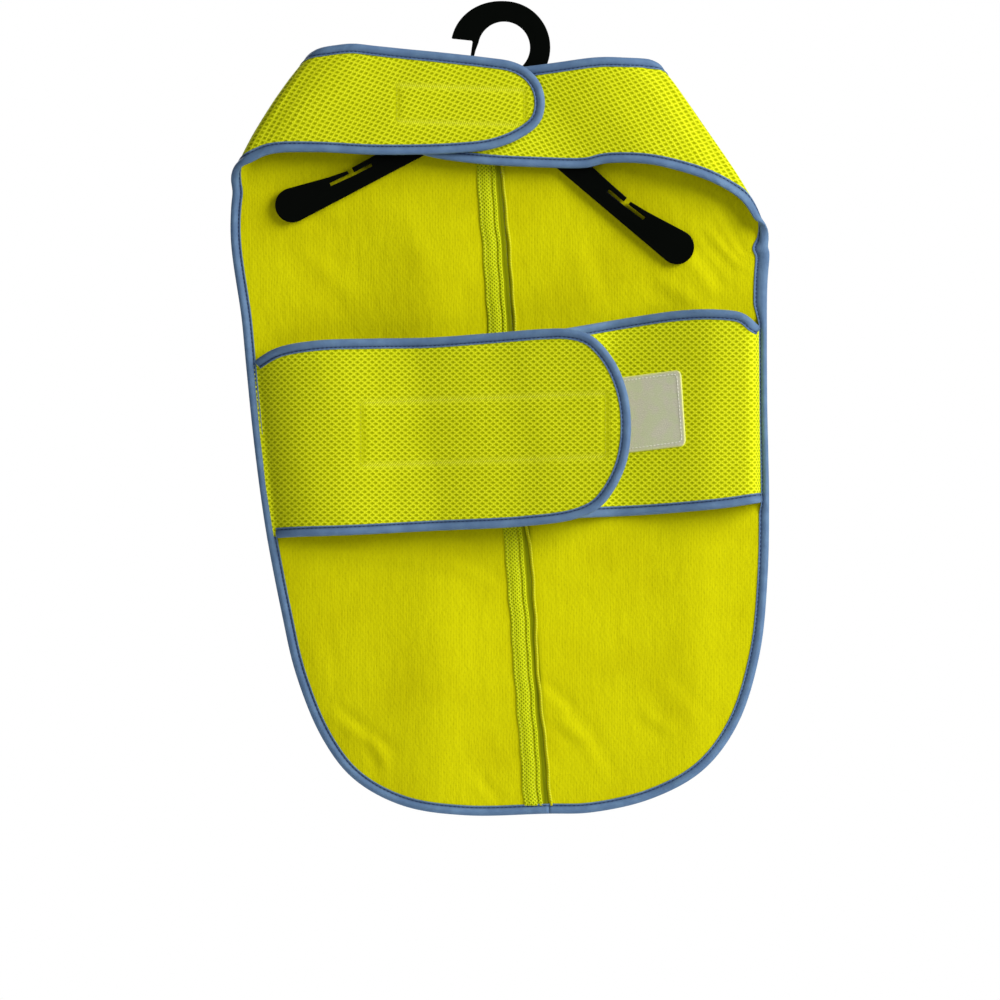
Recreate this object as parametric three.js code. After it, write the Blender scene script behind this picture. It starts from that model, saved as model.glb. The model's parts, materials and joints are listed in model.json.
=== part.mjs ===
// A dog's cooling vest on a plain moulded hanger, in millimetres, +Z up, the wearer's side towards -Y.
//
// The vest is two halves of spacer mesh joined by a seam down the back. Each half carries its chest strap
// in one piece: the cloth folds forward at the shoulder, so the back shows its close-knit face and the strap
// its open mesh. The left strap closes over the right one. Two belly straps are sewn into the sides.
// Every cloth piece is drawn flat, as it is cut, and one function per piece carries flat points into space.
// The origin is the inside top of the hanger's hook, where a rail bears.

import * as THREE from 'three';

// ---------------------------------------------------------------- driving dimensions

const CLOTH = 2.2; // thickness of the spacer mesh
const TAPE = 0.8; // thickness of one side of the folded binding
const BINDING_WIDTH = 7.2; // how far the binding reaches in from the finished edge
const TOUCH = 0.35; // gap between pieces that lie on each other
const FASTENER = 1.0; // thickness of the hook and the loop tape
const HANGER_DEPTH = 4.0; // front to back thickness of the hanger

const HALF_CLOTH = CLOTH / 2;
const WEB = TOUCH + TAPE; // the binding's finished edge stands this far outside the cloth
const ON_FACE = HALF_CLOTH + TOUCH; // a piece sewn on a cloth starts at this level
const BOUND_HALF = HALF_CLOTH + TOUCH + TAPE; // half the thickness of a bound edge
const STACK = CLOTH + TOUCH; // middle to middle of two cloths that lie on each other
const OVERLAP = CLOTH + 3 * TOUCH + 2 * FASTENER; // the same, with hook and loop tape between

// The middle of the back panel lies just behind the hanger, the right strap just in front of it.
const BACK_Y = HANGER_DEPTH / 2 + TOUCH + BOUND_HALF;
const RIGHT_STRAP_Y = -BACK_Y;
const LEFT_STRAP_Y = RIGHT_STRAP_Y - OVERLAP;

// Centre seam: a straight line that leans a little, because the vest hangs askew.
const SEAM_TOP = { x: -4.8, z: -74 };
const SEAM_FOOT = { x: 32.4, z: -570 };
const SEAM_GAP = 0.3; // each half stops this far from the seam line

const COLOURS = { mesh: 0xd3d90f, tape: 0x6b85b8, loop: 0xc9cbb0, plastic: 0x0c0d0e };

// ---------------------------------------------------------------- points, curves and patches in the flat

const vec = (x, z) => new THREE.Vector2(x, z);
const point = ({ x, z }) => vec(x, z);

function smoothCurve(rows) {
  // A curve through the rows' points, as a tailor's flexible rule would join them.
  const points = rows.map(({ x, z }) => new THREE.Vector3(x, 0, z));
  const curve = new THREE.CatmullRomCurve3(points, false, 'centripetal');
  return (t) => {
    const p = curve.getPointAt(THREE.MathUtils.clamp(t, 0, 1));
    return vec(p.x, p.z);
  };
}

const straight = (a, b) => (t) => a.clone().lerp(b, t);

// Shares from 0 to 1: even ones, and ones drawn together towards the first or the last.
const even = (count) => Array.from({ length: count + 1 }, (_, i) => i / count);
const earlier = (count, crowding) => even(count).map((v) => v ** crowding);
const later = (count, crowding) => even(count).map((v) => 1 - (1 - v) ** crowding);

function patch(start, end, inner, outer, across, shares) {
  // A four-sided patch between two rows (start, end) and the two edges that join them (inner, outer),
  // divided evenly across and at the given shares of the way from start to end.
  const corner = (curve, other, s, t) => curve(s).clone().add(other(t)).multiplyScalar(0.5);
  const c00 = corner(start, inner, 0, 0);
  const c10 = corner(start, outer, 1, 0);
  const c01 = corner(end, inner, 0, 1);
  const c11 = corner(end, outer, 1, 1);
  const rows = [];
  for (const v of shares) {
    const row = [];
    for (let i = 0; i <= across; i += 1) {
      const u = i / across;
      const ruled = start(u).multiplyScalar(1 - v).add(end(u).multiplyScalar(v));
      const sides = inner(v).multiplyScalar(1 - u).add(outer(v).multiplyScalar(u));
      const low = c00.clone().multiplyScalar(1 - u).add(c10.clone().multiplyScalar(u));
      const high = c01.clone().multiplyScalar(1 - u).add(c11.clone().multiplyScalar(u));
      const twisted = low.multiplyScalar(1 - v).add(high.multiplyScalar(v));
      row.push(ruled.add(sides).sub(twisted));
    }
    rows.push(row);
  }
  return rows;
}

const joinRows = (...groups) => groups.flatMap((rows, index) => (index ? rows.slice(1) : rows));

// ---------------------------------------------------------------- solids from rows of points

function solidFromRings(rings) {
  // Joins rings of equal length by walls. Both ends stay open.
  const size = rings[0].length;
  const positions = rings.flat().flatMap((p) => [p.x, p.y, p.z]);
  const index = [];
  const at = (ring, side) => ring * size + (side % size);
  for (let ring = 0; ring + 1 < rings.length; ring += 1) {
    for (let side = 0; side < size; side += 1) {
      index.push(at(ring, side), at(ring, side + 1), at(ring + 1, side));
      index.push(at(ring, side + 1), at(ring + 1, side + 1), at(ring + 1, side));
    }
  }
  return { positions, index, size, count: rings.length };
}

function finish({ positions, index }) {
  // Makes the geometry and turns its faces outwards, judged by the sign of its volume.
  let volume = 0;
  const corner = (i) => new THREE.Vector3().fromArray(positions, 3 * i);
  for (let i = 0; i < index.length; i += 3) {
    const [a, b, c] = [corner(index[i]), corner(index[i + 1]), corner(index[i + 2])];
    volume += a.dot(b.cross(c));
  }
  const faces = volume < 0 ? index.toReversed() : index;
  const geometry = new THREE.BufferGeometry();
  geometry.setAttribute('position', new THREE.Float32BufferAttribute(positions, 3));
  geometry.setIndex(faces);
  geometry.computeVertexNormals();
  return geometry;
}

function sheetSolid(rows, place, low, high) {
  // A wall of cloth: the rows' flat points carried to two levels of the surface and closed round the rim.
  const width = rows[0].length;
  const count = rows.length;
  const positions = [];
  for (const level of [low, high]) {
    for (const p of rows.flat()) {
      positions.push(...place(p, level).toArray());
    }
  }
  const upper = width * count;
  const index = [];
  const quad = (a, b, c, d) => index.push(a, b, c, a, c, d);
  for (let j = 0; j + 1 < count; j += 1) {
    for (let i = 0; i + 1 < width; i += 1) {
      const a = j * width + i;
      quad(a, a + 1, a + 1 + width, a + width);
      quad(upper + a, upper + a + width, upper + a + 1 + width, upper + a + 1);
    }
  }
  const rim = boundary(width, count);
  rim.forEach((a, k) => {
    const b = rim[(k + 1) % rim.length];
    quad(b, a, upper + a, upper + b);
  });
  return finish({ positions, index });
}

function boundary(width, count) {
  // Indices of a grid's rim, once round.
  const rim = [];
  for (let i = 0; i < width - 1; i += 1) rim.push(i);
  for (let j = 0; j < count - 1; j += 1) rim.push(j * width + width - 1);
  for (let i = width - 1; i > 0; i -= 1) rim.push((count - 1) * width + i);
  for (let j = count - 1; j > 0; j -= 1) rim.push(j * width);
  return rim;
}

function bindingSolid(path, place, levels) {
  // Tape folded over an edge. path is the cloth's edge in the flat, with the cloth on its left;
  // levels(p) says how far from the middle the two sides of the tape stand at that point, and how
  // far outside the edge its web stands.
  const reach = BINDING_WIDTH - WEB;
  const rings = path.map((p, k) => {
    const before = path[Math.max(k - 1, 0)];
    const after = path[Math.min(k + 1, path.length - 1)];
    const along = after.clone().sub(before).normalize();
    const out = vec(along.y, -along.x);
    const at = (a, level) => place(p.clone().addScaledVector(out, a), level);
    const { coarse, smooth, gap } = levels(p);
    return [
      at(-reach, coarse),
      at(gap, coarse),
      at(gap, -smooth),
      at(-reach, -smooth),
      at(-reach, -smooth - TAPE),
      at(gap + TAPE, -smooth - TAPE),
      at(gap + TAPE, coarse + TAPE),
      at(-reach, coarse + TAPE),
    ];
  });
  const body = solidFromRings(rings);
  const lastRing = (body.count - 1) * body.size;
  const capFaces = [[0, 1, 6], [0, 6, 7], [1, 2, 5], [1, 5, 6], [2, 3, 4], [2, 4, 5]];
  for (const [a, b, c] of capFaces) {
    body.index.push(a, c, b);
    body.index.push(lastRing + a, lastRing + b, lastRing + c);
  }
  return finish(body);
}

// ---------------------------------------------------------------- surfaces that carry the flat pieces

const { smoothstep } = THREE.MathUtils;
const NUDGE = 0.05; // half the distance over which a surface's slope is measured
const SWELL = { start: 8, full: 42, reach: 30 }; // from a fold's ends inwards, and away from the fold

function surface(middle, outwards) {
  // Turns a middle surface into place(p, level): level counts from the middle towards the coarse outer face.
  return (p, level) => {
    const right = middle(vec(p.x + NUDGE, p.y)).sub(middle(vec(p.x - NUDGE, p.y)));
    const up = middle(vec(p.x, p.y + NUDGE)).sub(middle(vec(p.x, p.y - NUDGE)));
    const normal = right.cross(up).normalize().multiplyScalar(outwards);
    return middle(p).addScaledVector(normal, level);
  };
}

function shoulderFold({ top, foot, strapY, swell }) {
  // The cloth lies in the back panel up to the fold line, goes half round it and returns as the strap.
  // The fold swells outwards between its ends.
  const radius = (BACK_Y - strapY) / 2;
  const turn = Math.PI * radius;
  const axis = point(foot).sub(point(top)).normalize();
  const out = vec(-axis.y, axis.x).multiplyScalar(Math.sign(top.x * -axis.y));
  const length = point(foot).distanceTo(point(top));
  const beyond = (p) => p.clone().sub(point(top)).dot(out);
  const swollen = (p, d) => {
    const t = p.clone().sub(point(top)).dot(axis);
    const { start, full, reach } = SWELL;
    const height = swell * smoothstep(t, start, full) * (1 - smoothstep(t, length - full, length - start));
    return height * smoothstep(d, -reach, 0) * (1 - smoothstep(d, turn, turn + reach));
  };
  const middle = (p) => {
    const d = beyond(p);
    const angle = THREE.MathUtils.clamp(d, 0, turn) / radius;
    const rolled = Math.min(d, 0) + radius * Math.sin(angle) - Math.max(d - turn, 0);
    const q = p.clone().addScaledVector(out, rolled - d + swollen(p, d));
    return new THREE.Vector3(q.x, BACK_Y - radius * (1 - Math.cos(angle)), q.y);
  };
  return {
    place: surface(middle, -1),
    along: (distance) => point(top).addScaledVector(axis, distance),
    length,
    // Where a point of the folded strap, given as it lies, is on the flat cut piece.
    unfold: (seen) => seen.clone().addScaledVector(out, turn - 2 * beyond(seen)),
    turned: (p) => p.clone().addScaledVector(out, turn),
    // 1 where a binding's edge is near the curved part, 0 away from it.
    near: (p) => {
      const d = beyond(p);
      return smoothstep(d, -12, -BINDING_WIDTH) * (1 - smoothstep(d, turn + BINDING_WIDTH, turn + 12));
    },
  };
}

// ---------------------------------------------------------------- the two halves

// x and z are where the cloth's edge lies, with the strap folded forward.
const LEFT_HALF = {
  fold: { top: { x: -122.6, z: -18 }, foot: { x: -183, z: -101.9 }, strapY: LEFT_STRAP_Y, swell: 1.3 },
  neckSlide: 28, // how far the edges run down the fold line while the cloth goes round it
  sideSlide: 20.9,
  strapEdge: [
    { at: 'fold, top', x: -122.6, z: -18 },
    { at: 'highest point', x: -111, z: -16.8 },
    { at: 'top edge', x: -91, z: -19.5 },
    { at: 'top edge', x: -46, z: -24 },
    { at: 'top edge', x: -10, z: -28 },
    { at: 'end begins', x: 6, z: -30.6 },
    { at: 'end', x: 17.5, z: -36.5 },
    { at: 'end', x: 25.8, z: -47 },
    { at: 'tip', x: 28.4, z: -60 },
    { at: 'end', x: 24.9, z: -73.2 },
    { at: 'end', x: 12, z: -83.6 },
    { at: 'bottom edge', x: -7, z: -91.2 },
    { at: 'bottom edge', x: -31.7, z: -94.4 },
    { at: 'bottom edge', x: -89, z: -95.8 },
    { at: 'bottom edge', x: -140, z: -93.8 },
    { at: 'bottom edge', x: -168, z: -96.4 },
    { at: 'fold, foot', x: -183, z: -101.9 },
  ],
  neckEdge: [
    { at: 'fold', x: -138.95, z: -40.72 },
    { at: 'shoulder', x: -137, z: -57 },
    { at: 'curve', x: -121, z: -71 },
    { at: 'curve', x: -90, z: -76.5 },
    { at: 'curve', x: -50, z: -75.5 },
    { at: 'seam', x: SEAM_TOP.x, z: SEAM_TOP.z },
  ],
  outline: [
    { at: 'fold', x: -195.2, z: -118.86 },
    { at: 'leg opening', x: -195.9, z: -157.3 },
    { at: 'leg opening', x: -188.2, z: -213 },
    { at: 'belly strap, top', x: -185.6, z: -240 },
    { at: 'belly strap', x: -179, z: -305 },
    { at: 'belly strap, bottom', x: -170.7, z: -366 },
    { at: 'flank', x: -159.2, z: -427 },
    { at: 'flank', x: -149.2, z: -470 },
    { at: 'tail corner', x: -130.3, z: -516.4 },
    { at: 'tail', x: -108.3, z: -545 },
    { at: 'tail', x: -74, z: -564 },
    { at: 'tail', x: -28, z: -571.2 },
    { at: 'seam', x: SEAM_FOOT.x, z: SEAM_FOOT.z },
  ],
};

const RIGHT_HALF = {
  fold: { top: { x: 99.3, z: -26.9 }, foot: { x: 183.8, z: -142.9 }, strapY: RIGHT_STRAP_Y, swell: 2.2 },
  neckSlide: 18,
  sideSlide: 8.8,
  strapEdge: [
    { at: 'fold, top', x: 99.3, z: -26.9 },
    { at: 'top edge', x: 72.7, z: -26.8 },
    { at: 'top edge', x: 32, z: -31.8 },
    { at: 'under the left strap', x: -17, z: -37.8 },
    { at: 'end begins', x: -58, z: -42.4 },
    { at: 'end', x: -72, z: -46.5 },
    { at: 'end', x: -81, z: -55.5 },
    { at: 'tip', x: -84.5, z: -67.5 },
    { at: 'end', x: -81, z: -80 },
    { at: 'end', x: -70, z: -90.4 },
    { at: 'bottom edge', x: -55, z: -96.4 },
    { at: 'bottom edge', x: -17.3, z: -102 },
    { at: 'bottom edge', x: 25.9, z: -104.4 },
    { at: 'bottom edge', x: 61, z: -104.6 },
    { at: 'bottom edge', x: 71, z: -101.8 },
    { at: 'bottom edge', x: 103, z: -102.2 },
    { at: 'bottom edge', x: 130.3, z: -108.7 },
    { at: 'bottom edge', x: 152.2, z: -117.3 },
    { at: 'bottom edge', x: 169, z: -127.6 },
    { at: 'fold, foot', x: 183.8, z: -142.9 },
  ],
  neckEdge: [
    { at: 'fold', x: 109.9, z: -41.45 },
    { at: 'shoulder', x: 112.5, z: -56 },
    { at: 'curve', x: 101, z: -70 },
    { at: 'curve', x: 72, z: -76.5 },
    { at: 'curve', x: 35, z: -75.5 },
    { at: 'seam', x: SEAM_TOP.x, z: SEAM_TOP.z },
  ],
  outline: [
    { at: 'fold', x: 189, z: -150 },
    { at: 'leg opening', x: 189.4, z: -163 },
    { at: 'leg opening', x: 188.6, z: -195 },
    { at: 'belly strap', x: 188.6, z: -272 },
    { at: 'belly strap, bottom', x: 190, z: -345 },
    { at: 'flank', x: 189, z: -399 },
    { at: 'flank', x: 183.3, z: -455 },
    { at: 'tail corner', x: 167.5, z: -505.7 },
    { at: 'tail', x: 142.9, z: -538.5 },
    { at: 'tail', x: 106, z: -559.1 },
    { at: 'tail', x: 62, z: -569.2 },
    { at: 'seam', x: SEAM_FOOT.x, z: SEAM_FOOT.z },
  ],
};

// How many cells the cloth is divided into, and where an outline is shared out between its patches.
const CELLS = { across: 6, strap: 14, fold: 8, shoulder: 9, body: 15 };
const CROWDING = 1.6; // draws rows together towards the fold
const STRAP_END = { from: 0.42, to: 0.58 }; // stretch of strapEdge that is the round end
const OUTLINE = { shoulder: 0.09, tail: 0.73 }; // shares of the outline where the body begins and ends

const stretch = (curve, from, to) => (t) => curve(from + (to - from) * t);

function cutHalf(half) {
  // The flat cut of one half, as rows from the strap's end round the shoulder down to the tail.
  const fold = shoulderFold(half.fold);
  const seamSide = Math.sign(half.fold.top.x);
  const seam = straight(
    vec(SEAM_TOP.x + seamSide * SEAM_GAP, SEAM_TOP.z),
    vec(SEAM_FOOT.x + seamSide * SEAM_GAP, SEAM_FOOT.z),
  );
  const strapEdge = smoothCurve(half.strapEdge);
  const flat = (from, to) => (t) => fold.unfold(stretch(strapEdge, from, to)(t));
  const front = straight(fold.turned(fold.along(0)), fold.turned(fold.along(fold.length)));
  const back = straight(fold.along(half.neckSlide), fold.along(fold.length + half.sideSlide));
  const neck = smoothCurve(half.neckEdge);
  const outline = smoothCurve(half.outline);
  const waist = straight(seam(0), outline(OUTLINE.shoulder));
  const { across } = CELLS;
  const strap = patch(
    flat(STRAP_END.from, STRAP_END.to),
    front,
    flat(STRAP_END.from, 0),
    flat(STRAP_END.to, 1),
    across,
    later(CELLS.strap, CROWDING),
  );
  const round = patch(
    front,
    back,
    straight(front(0), back(0)),
    straight(front(1), back(1)),
    across,
    even(CELLS.fold),
  );
  const shoulder = patch(
    back,
    waist,
    stretch(neck, 0, 1),
    stretch(outline, 0, OUTLINE.shoulder),
    across,
    earlier(CELLS.shoulder, CROWDING),
  );
  const body = patch(
    waist,
    stretch(outline, 1, OUTLINE.tail),
    seam,
    stretch(outline, OUTLINE.shoulder, OUTLINE.tail),
    across,
    even(CELLS.body),
  );
  return { fold, rows: joinRows(strap, round, shoulder, body) };
}

function boundEdge({ rows }) {
  // The edge that is bound: from the neck seam round the strap and down the side to the foot of the seam.
  const neckRow = CELLS.strap + CELLS.fold + CELLS.shoulder;
  const neckAndStrap = rows.slice(0, neckRow + 1).map((row) => row[0]).toReversed();
  const end = rows[0].slice(1, -1);
  const strapAndSide = rows.map((row) => row.at(-1));
  const tail = rows.at(-1).slice(0, -1).toReversed();
  return [...neckAndStrap, ...end, ...strapAndSide, ...tail];
}

// ---------------------------------------------------------------- belly straps

// rise: how far a strap's middle stands in front of where it would lie flat on the back panel.
// from: distance in from the side edge that the strap is sewn to.
const LEFT_RISE = [
  { at: 'under the binding', from: 0, rise: 0 },
  { at: 'binding ends', from: 6.6, rise: 0 },
  { at: 'turns forward', from: 9, rise: 1.8 },
  { at: 'steep', from: 14, rise: 6.5 },
  { at: 'steep', from: 24, rise: 14 },
  { at: 'slope', from: 38, rise: 22 },
  { at: 'slope', from: 55, rise: 28 },
  { at: 'first crest', from: 76, rise: 30.5 },
  { at: 'hollow', from: 102, rise: 29.5 },
  { at: 'second crest', from: 140, rise: 32 },
  { at: 'hollow', from: 185, rise: 30 },
  { at: 'end', from: 250, rise: 30.5 },
  { at: 'past the end', from: 290, rise: 30 },
  { at: 'past the end', from: 400, rise: 30 },
];

// share: how much of the lap's height the right strap has at that distance from its own side.
const RIGHT_SHARE = [
  { at: 'under the binding', from: 0, share: 0 },
  { at: 'binding ends', from: 6.6, share: 0 },
  { at: 'turns forward', from: 9, share: 0.085 },
  { at: 'steep', from: 14, share: 0.34 },
  { at: 'steep', from: 20, share: 0.62 },
  { at: 'shoulder', from: 28, share: 0.87 },
  { at: 'crest', from: 40, share: 1 },
  { at: 'level', from: 60, share: 1 },
  { at: 'level', from: 400, share: 1 },
];

function graph(rows, key) {
  // A smooth graph through a table's rows, from their from column to the named one.
  const x = rows.map((row) => row.from);
  const y = rows.map((row) => row[key]);
  const slope = x.map((_, i) => {
    const [a, b] = [Math.max(i - 1, 0), Math.min(i + 1, x.length - 1)];
    const steps = [i - 1, i].filter((k) => k >= 0 && k + 1 < x.length);
    const flat = steps.some((k) => y[k + 1] === y[k]);
    return flat ? 0 : (y[b] - y[a]) / (x[b] - x[a]);
  });
  return (at) => {
    const value = THREE.MathUtils.clamp(at, x[0], x.at(-1));
    const i = Math.min(Math.max(x.findIndex((end) => end >= value) - 1, 0), x.length - 2);
    const width = x[i + 1] - x[i];
    const t = (value - x[i]) / width;
    const bend = t * t * (3 - 2 * t);
    const lean = slope[i] * t * (1 - t) ** 2 - slope[i + 1] * t * t * (1 - t);
    return y[i] + (y[i + 1] - y[i]) * bend + lean * width;
  };
}

const lapRise = graph(LEFT_RISE, 'rise');
const rightShare = graph(RIGHT_SHARE, 'share');

// The side edges beside the straps, as straight lines: x at the height z, and how much x grows per z.
const LEFT_SIDE = { x: -185.6, z: -240, lean: -0.118 };
const RIGHT_SIDE = { x: 188.6, z: -272, lean: -0.01 };
const sideAt = ({ x, z, lean }, height) => x + lean * (height - z);

const leftBelly = (p) => {
  const rise = lapRise(p.x - sideAt(LEFT_SIDE, p.y));
  return new THREE.Vector3(p.x, BACK_Y - STACK - rise, p.y);
};

const rightBelly = (p) => {
  const share = rightShare(sideAt(RIGHT_SIDE, p.y) - p.x);
  const rise = (lapRise(p.x - sideAt(LEFT_SIDE, p.y)) - OVERLAP) * share;
  return new THREE.Vector3(p.x, BACK_Y - STACK - rise, p.y);
};

// How far in from the side edge a strap begins, leaves the side binding and gets its own binding.
const SEWN = { end: 0.9, free: 6.6, bound: 9.2 };

const LEFT_BELLY = {
  side: LEFT_SIDE,
  place: surface(leftBelly, 1),
  base: { top: -244.5, bottom: -370.8 },
  edge: [
    { at: 'top edge', x: -164, z: -236.4 },
    { at: 'top edge', x: -136, z: -231.2 },
    { at: 'top edge', x: -95, z: -229.7 },
    { at: 'top edge', x: -53, z: -229 },
    { at: 'top edge', x: -12, z: -226.2 },
    { at: 'top edge', x: 28.8, z: -223.2 },
    { at: 'end begins', x: 46, z: -223.2 },
    { at: 'end', x: 61.5, z: -227.6 },
    { at: 'end', x: 77.5, z: -245 },
    { at: 'end', x: 87.5, z: -270 },
    { at: 'tip', x: 89.6, z: -297 },
    { at: 'end', x: 86, z: -319 },
    { at: 'end', x: 77.5, z: -337.3 },
    { at: 'end', x: 67, z: -349.8 },
    { at: 'end', x: 50.5, z: -357.2 },
    { at: 'bottom edge', x: 15, z: -362.2 },
    { at: 'bottom edge', x: -53, z: -365.7 },
    { at: 'bottom edge', x: -109, z: -368.6 },
    { at: 'bottom edge', x: -150, z: -370 },
  ],
  end: { from: 0.42, to: 0.58 },
};

const RIGHT_BELLY = {
  side: RIGHT_SIDE,
  place: surface(rightBelly, 1),
  base: { top: -220, bottom: -345.6 },
  edge: [
    { at: 'top edge', x: 172, z: -211.7 },
    { at: 'top edge', x: 153.4, z: -208.8 },
    { at: 'top edge', x: 125.3, z: -209.5 },
    { at: 'top edge', x: 84, z: -215.3 },
    { at: 'top edge', x: 40, z: -223.2 },
    { at: 'under the left strap', x: -10, z: -231.5 },
    { at: 'end begins', x: -46, z: -236 },
    { at: 'end', x: -62, z: -243 },
    { at: 'end', x: -75, z: -262 },
    { at: 'tip', x: -80, z: -292 },
    { at: 'end', x: -76, z: -323 },
    { at: 'end', x: -64, z: -345 },
    { at: 'end', x: -46, z: -354 },
    { at: 'bottom edge', x: -5, z: -357.5 },
    { at: 'bottom edge', x: 70.6, z: -355.7 },
    { at: 'bottom edge', x: 111.6, z: -353.5 },
    { at: 'bottom edge', x: 160, z: -349 },
  ],
  end: { from: 0.42, to: 0.58 },
};

const BELLY_CELLS = { across: 6, sewn: 2, strap: 22, crowding: 1.35 };

function cutBelly(strap) {
  // Rows from the sewn end to the round one. The first two cells, by the side binding, are unbound.
  const inward = -Math.sign(strap.side.x);
  const heights = (t) => strap.base.top + (strap.base.bottom - strap.base.top) * t;
  const sewn = (inset) => (t) => vec(sideAt(strap.side, heights(t)) + inward * inset, heights(t));
  const [end, free, bound] = [SEWN.end, SEWN.free, SEWN.bound].map(sewn);
  const row = ({ x, y }) => ({ x, z: y });
  const edge = smoothCurve([row(bound(0)), ...strap.edge, row(bound(1))]);
  const { across } = BELLY_CELLS;
  const { from, to } = strap.end;
  const cell = (start, next) => {
    return patch(start, next, straight(start(0), next(0)), straight(start(1), next(1)), across, even(1));
  };
  const tipRow = stretch(edge, from, to);
  const top = stretch(edge, 0, from);
  const bottom = stretch(edge, 1, to);
  const shares = earlier(BELLY_CELLS.strap, BELLY_CELLS.crowding);
  const strapRows = patch(bound, tipRow, top, bottom, across, shares);
  return joinRows(cell(end, free), cell(free, bound), strapRows);
}

function bellyEdge(rows) {
  // The three free edges of a belly strap, from the sewn end round and back.
  const free = rows.slice(BELLY_CELLS.sewn);
  const top = free.map((row) => row[0]);
  const end = rows.at(-1).slice(1, -1);
  const bottom = free.map((row) => row.at(-1)).toReversed();
  return [...top, ...end, ...bottom];
}

// ---------------------------------------------------------------- patches and seam strips

function rectangle(corners, across, along) {
  // Rows of points over a four-cornered piece: corners go round it.
  const [a, b, c, d] = corners.map(([x, z]) => vec(x, z));
  return patch(straight(a, b), straight(d, c), straight(a, d), straight(b, c), across, even(along));
}

const FASTENERS = {
  chest_hook: { corners: [[-78.5, -45], [-78.5, -71.6], [13, -74.5], [13, -48.6]], along: 12 },
  chest_loop: { corners: [[-60, -53.5], [-60, -80.5], [12, -80.5], [12, -53.5]], along: 8 },
  belly_hook: { corners: [[-104.4, -273.2], [-104.4, -321.5], [74.2, -315], [74.2, -266.8]], along: 14 },
  belly_loop: { corners: [[8.3, -265.5], [12, -320], [131, -305.6], [127.4, -250.9]], along: 12 },
};
const FASTENER_CELLS = 3;

// Distances from the seam line of the strips that show inside, and their top and bottom heights.
const SEAM_STRIPS = {
  seam_allowance: { from: -17.6, to: -6.4, thickness: 1.4 },
  seam_lip: { from: -5.8, to: -2.2, thickness: 1.8 },
};
const SEAM_STRIP_SPAN = { top: -98, bottom: -562 };
const SEAM_STRIP_CELLS = { across: 2, along: 12 };

function seamStrip({ from, to }) {
  const lean = (SEAM_FOOT.x - SEAM_TOP.x) / (SEAM_FOOT.z - SEAM_TOP.z);
  const beside = (distance, z) => [SEAM_TOP.x + lean * (z - SEAM_TOP.z) + distance, z];
  const { top, bottom } = SEAM_STRIP_SPAN;
  const corners = [beside(from, top), beside(to, top), beside(to, bottom), beside(from, bottom)];
  return rectangle(corners, SEAM_STRIP_CELLS.across, SEAM_STRIP_CELLS.along);
}

// ---------------------------------------------------------------- hanger

const HANGER = {
  tilt: THREE.MathUtils.degToRad(6.2), // it hangs a little clockwise
  bore: 18.7, // radius inside the hook
  rim: 33.3, // radius outside the hook
  flare: 5, // the hook is this much wider at its end
  tipAngle: 176,
  stemAngle: -38,
  drop: 50.4, // from the hook's centre down to the underside of the arms' peak
  droop: THREE.MathUtils.degToRad(34), // slope of the arms' underside
  bevel: 0.6,
};

// The hook's end, from inside to outside: a narrow neck beside a flat shoulder.
const HOOK_END = [
  { at: 'neck, inside', x: -20.1, z: -4 },
  { at: 'neck, tip', x: -20.9, z: -9.5 },
  { at: 'neck, tip', x: -23.3, z: -9.5 },
  { at: 'neck, outside', x: -23, z: 1.6 },
  { at: 'shoulder', x: -23.8, z: 2.4 },
  { at: 'shoulder', x: -37.4, z: 2.3 },
];

// An arm's outline from the hub to its tip, measured along its underside and up from it.
const ARM_TOP = [
  { at: 'hub', along: 2, up: 20.5 },
  { at: 'shank', along: 60, up: 17.8 },
  { at: 'inner finger', along: 95, up: 16.4 },
  { at: 'inner finger, tip', along: 109.2, up: 16.2 },
  { at: 'gap', along: 109.2, up: 12.7 },
  { at: 'inner slot', along: 95.5, up: 12.7 },
  { at: 'inner slot', along: 95.5, up: 10.3 },
  { at: 'gap, foot', along: 111, up: 10.6 },
  { at: 'outer slot', along: 128.5, up: 11.6 },
  { at: 'outer slot', along: 128.5, up: 14 },
  { at: 'gap', along: 113.1, up: 13.3 },
  { at: 'outer finger, tip', along: 113.1, up: 15.8 },
  { at: 'outer finger', along: 126.7, up: 17.9 },
];
const PADDLE = { along: 159.6, up: 12.4, radius: 12.4, from: 103, to: -90 };

function arc(centre, radius, from, to, count) {
  // Points of an arc, angles in degrees, counted from the right and upwards.
  return Array.from({ length: count + 1 }, (_, i) => {
    const angle = THREE.MathUtils.degToRad(from + ((to - from) * i) / count);
    return vec(centre.x + radius * Math.cos(angle), centre.y + radius * Math.sin(angle));
  });
}

function armOutline(side) {
  // One arm's outline from the hub round its tip to the peak, about the hook's centre; side is 1 or -1.
  const tip = arc(vec(PADDLE.along, PADDLE.up), PADDLE.radius, PADDLE.from, PADDLE.to, 14);
  const points = [...ARM_TOP.map(({ along, up }) => vec(along, up)), ...tip];
  const [c, s] = [Math.cos(HANGER.droop), Math.sin(HANGER.droop)];
  return points.map((p) => vec(side * (p.x * c + p.y * s), p.y * c - p.x * s - HANGER.drop));
}

function flared(p) {
  // The hook's outside, moved away from its centre more and more towards the end.
  const angle = THREE.MathUtils.radToDeg(Math.atan2(p.y, p.x));
  const share = p.x < 0 || p.y > 0 ? smoothstep(angle, 90, 180) : 0;
  return p.multiplyScalar(1 + (HANGER.flare * share) / HANGER.rim);
}

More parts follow.
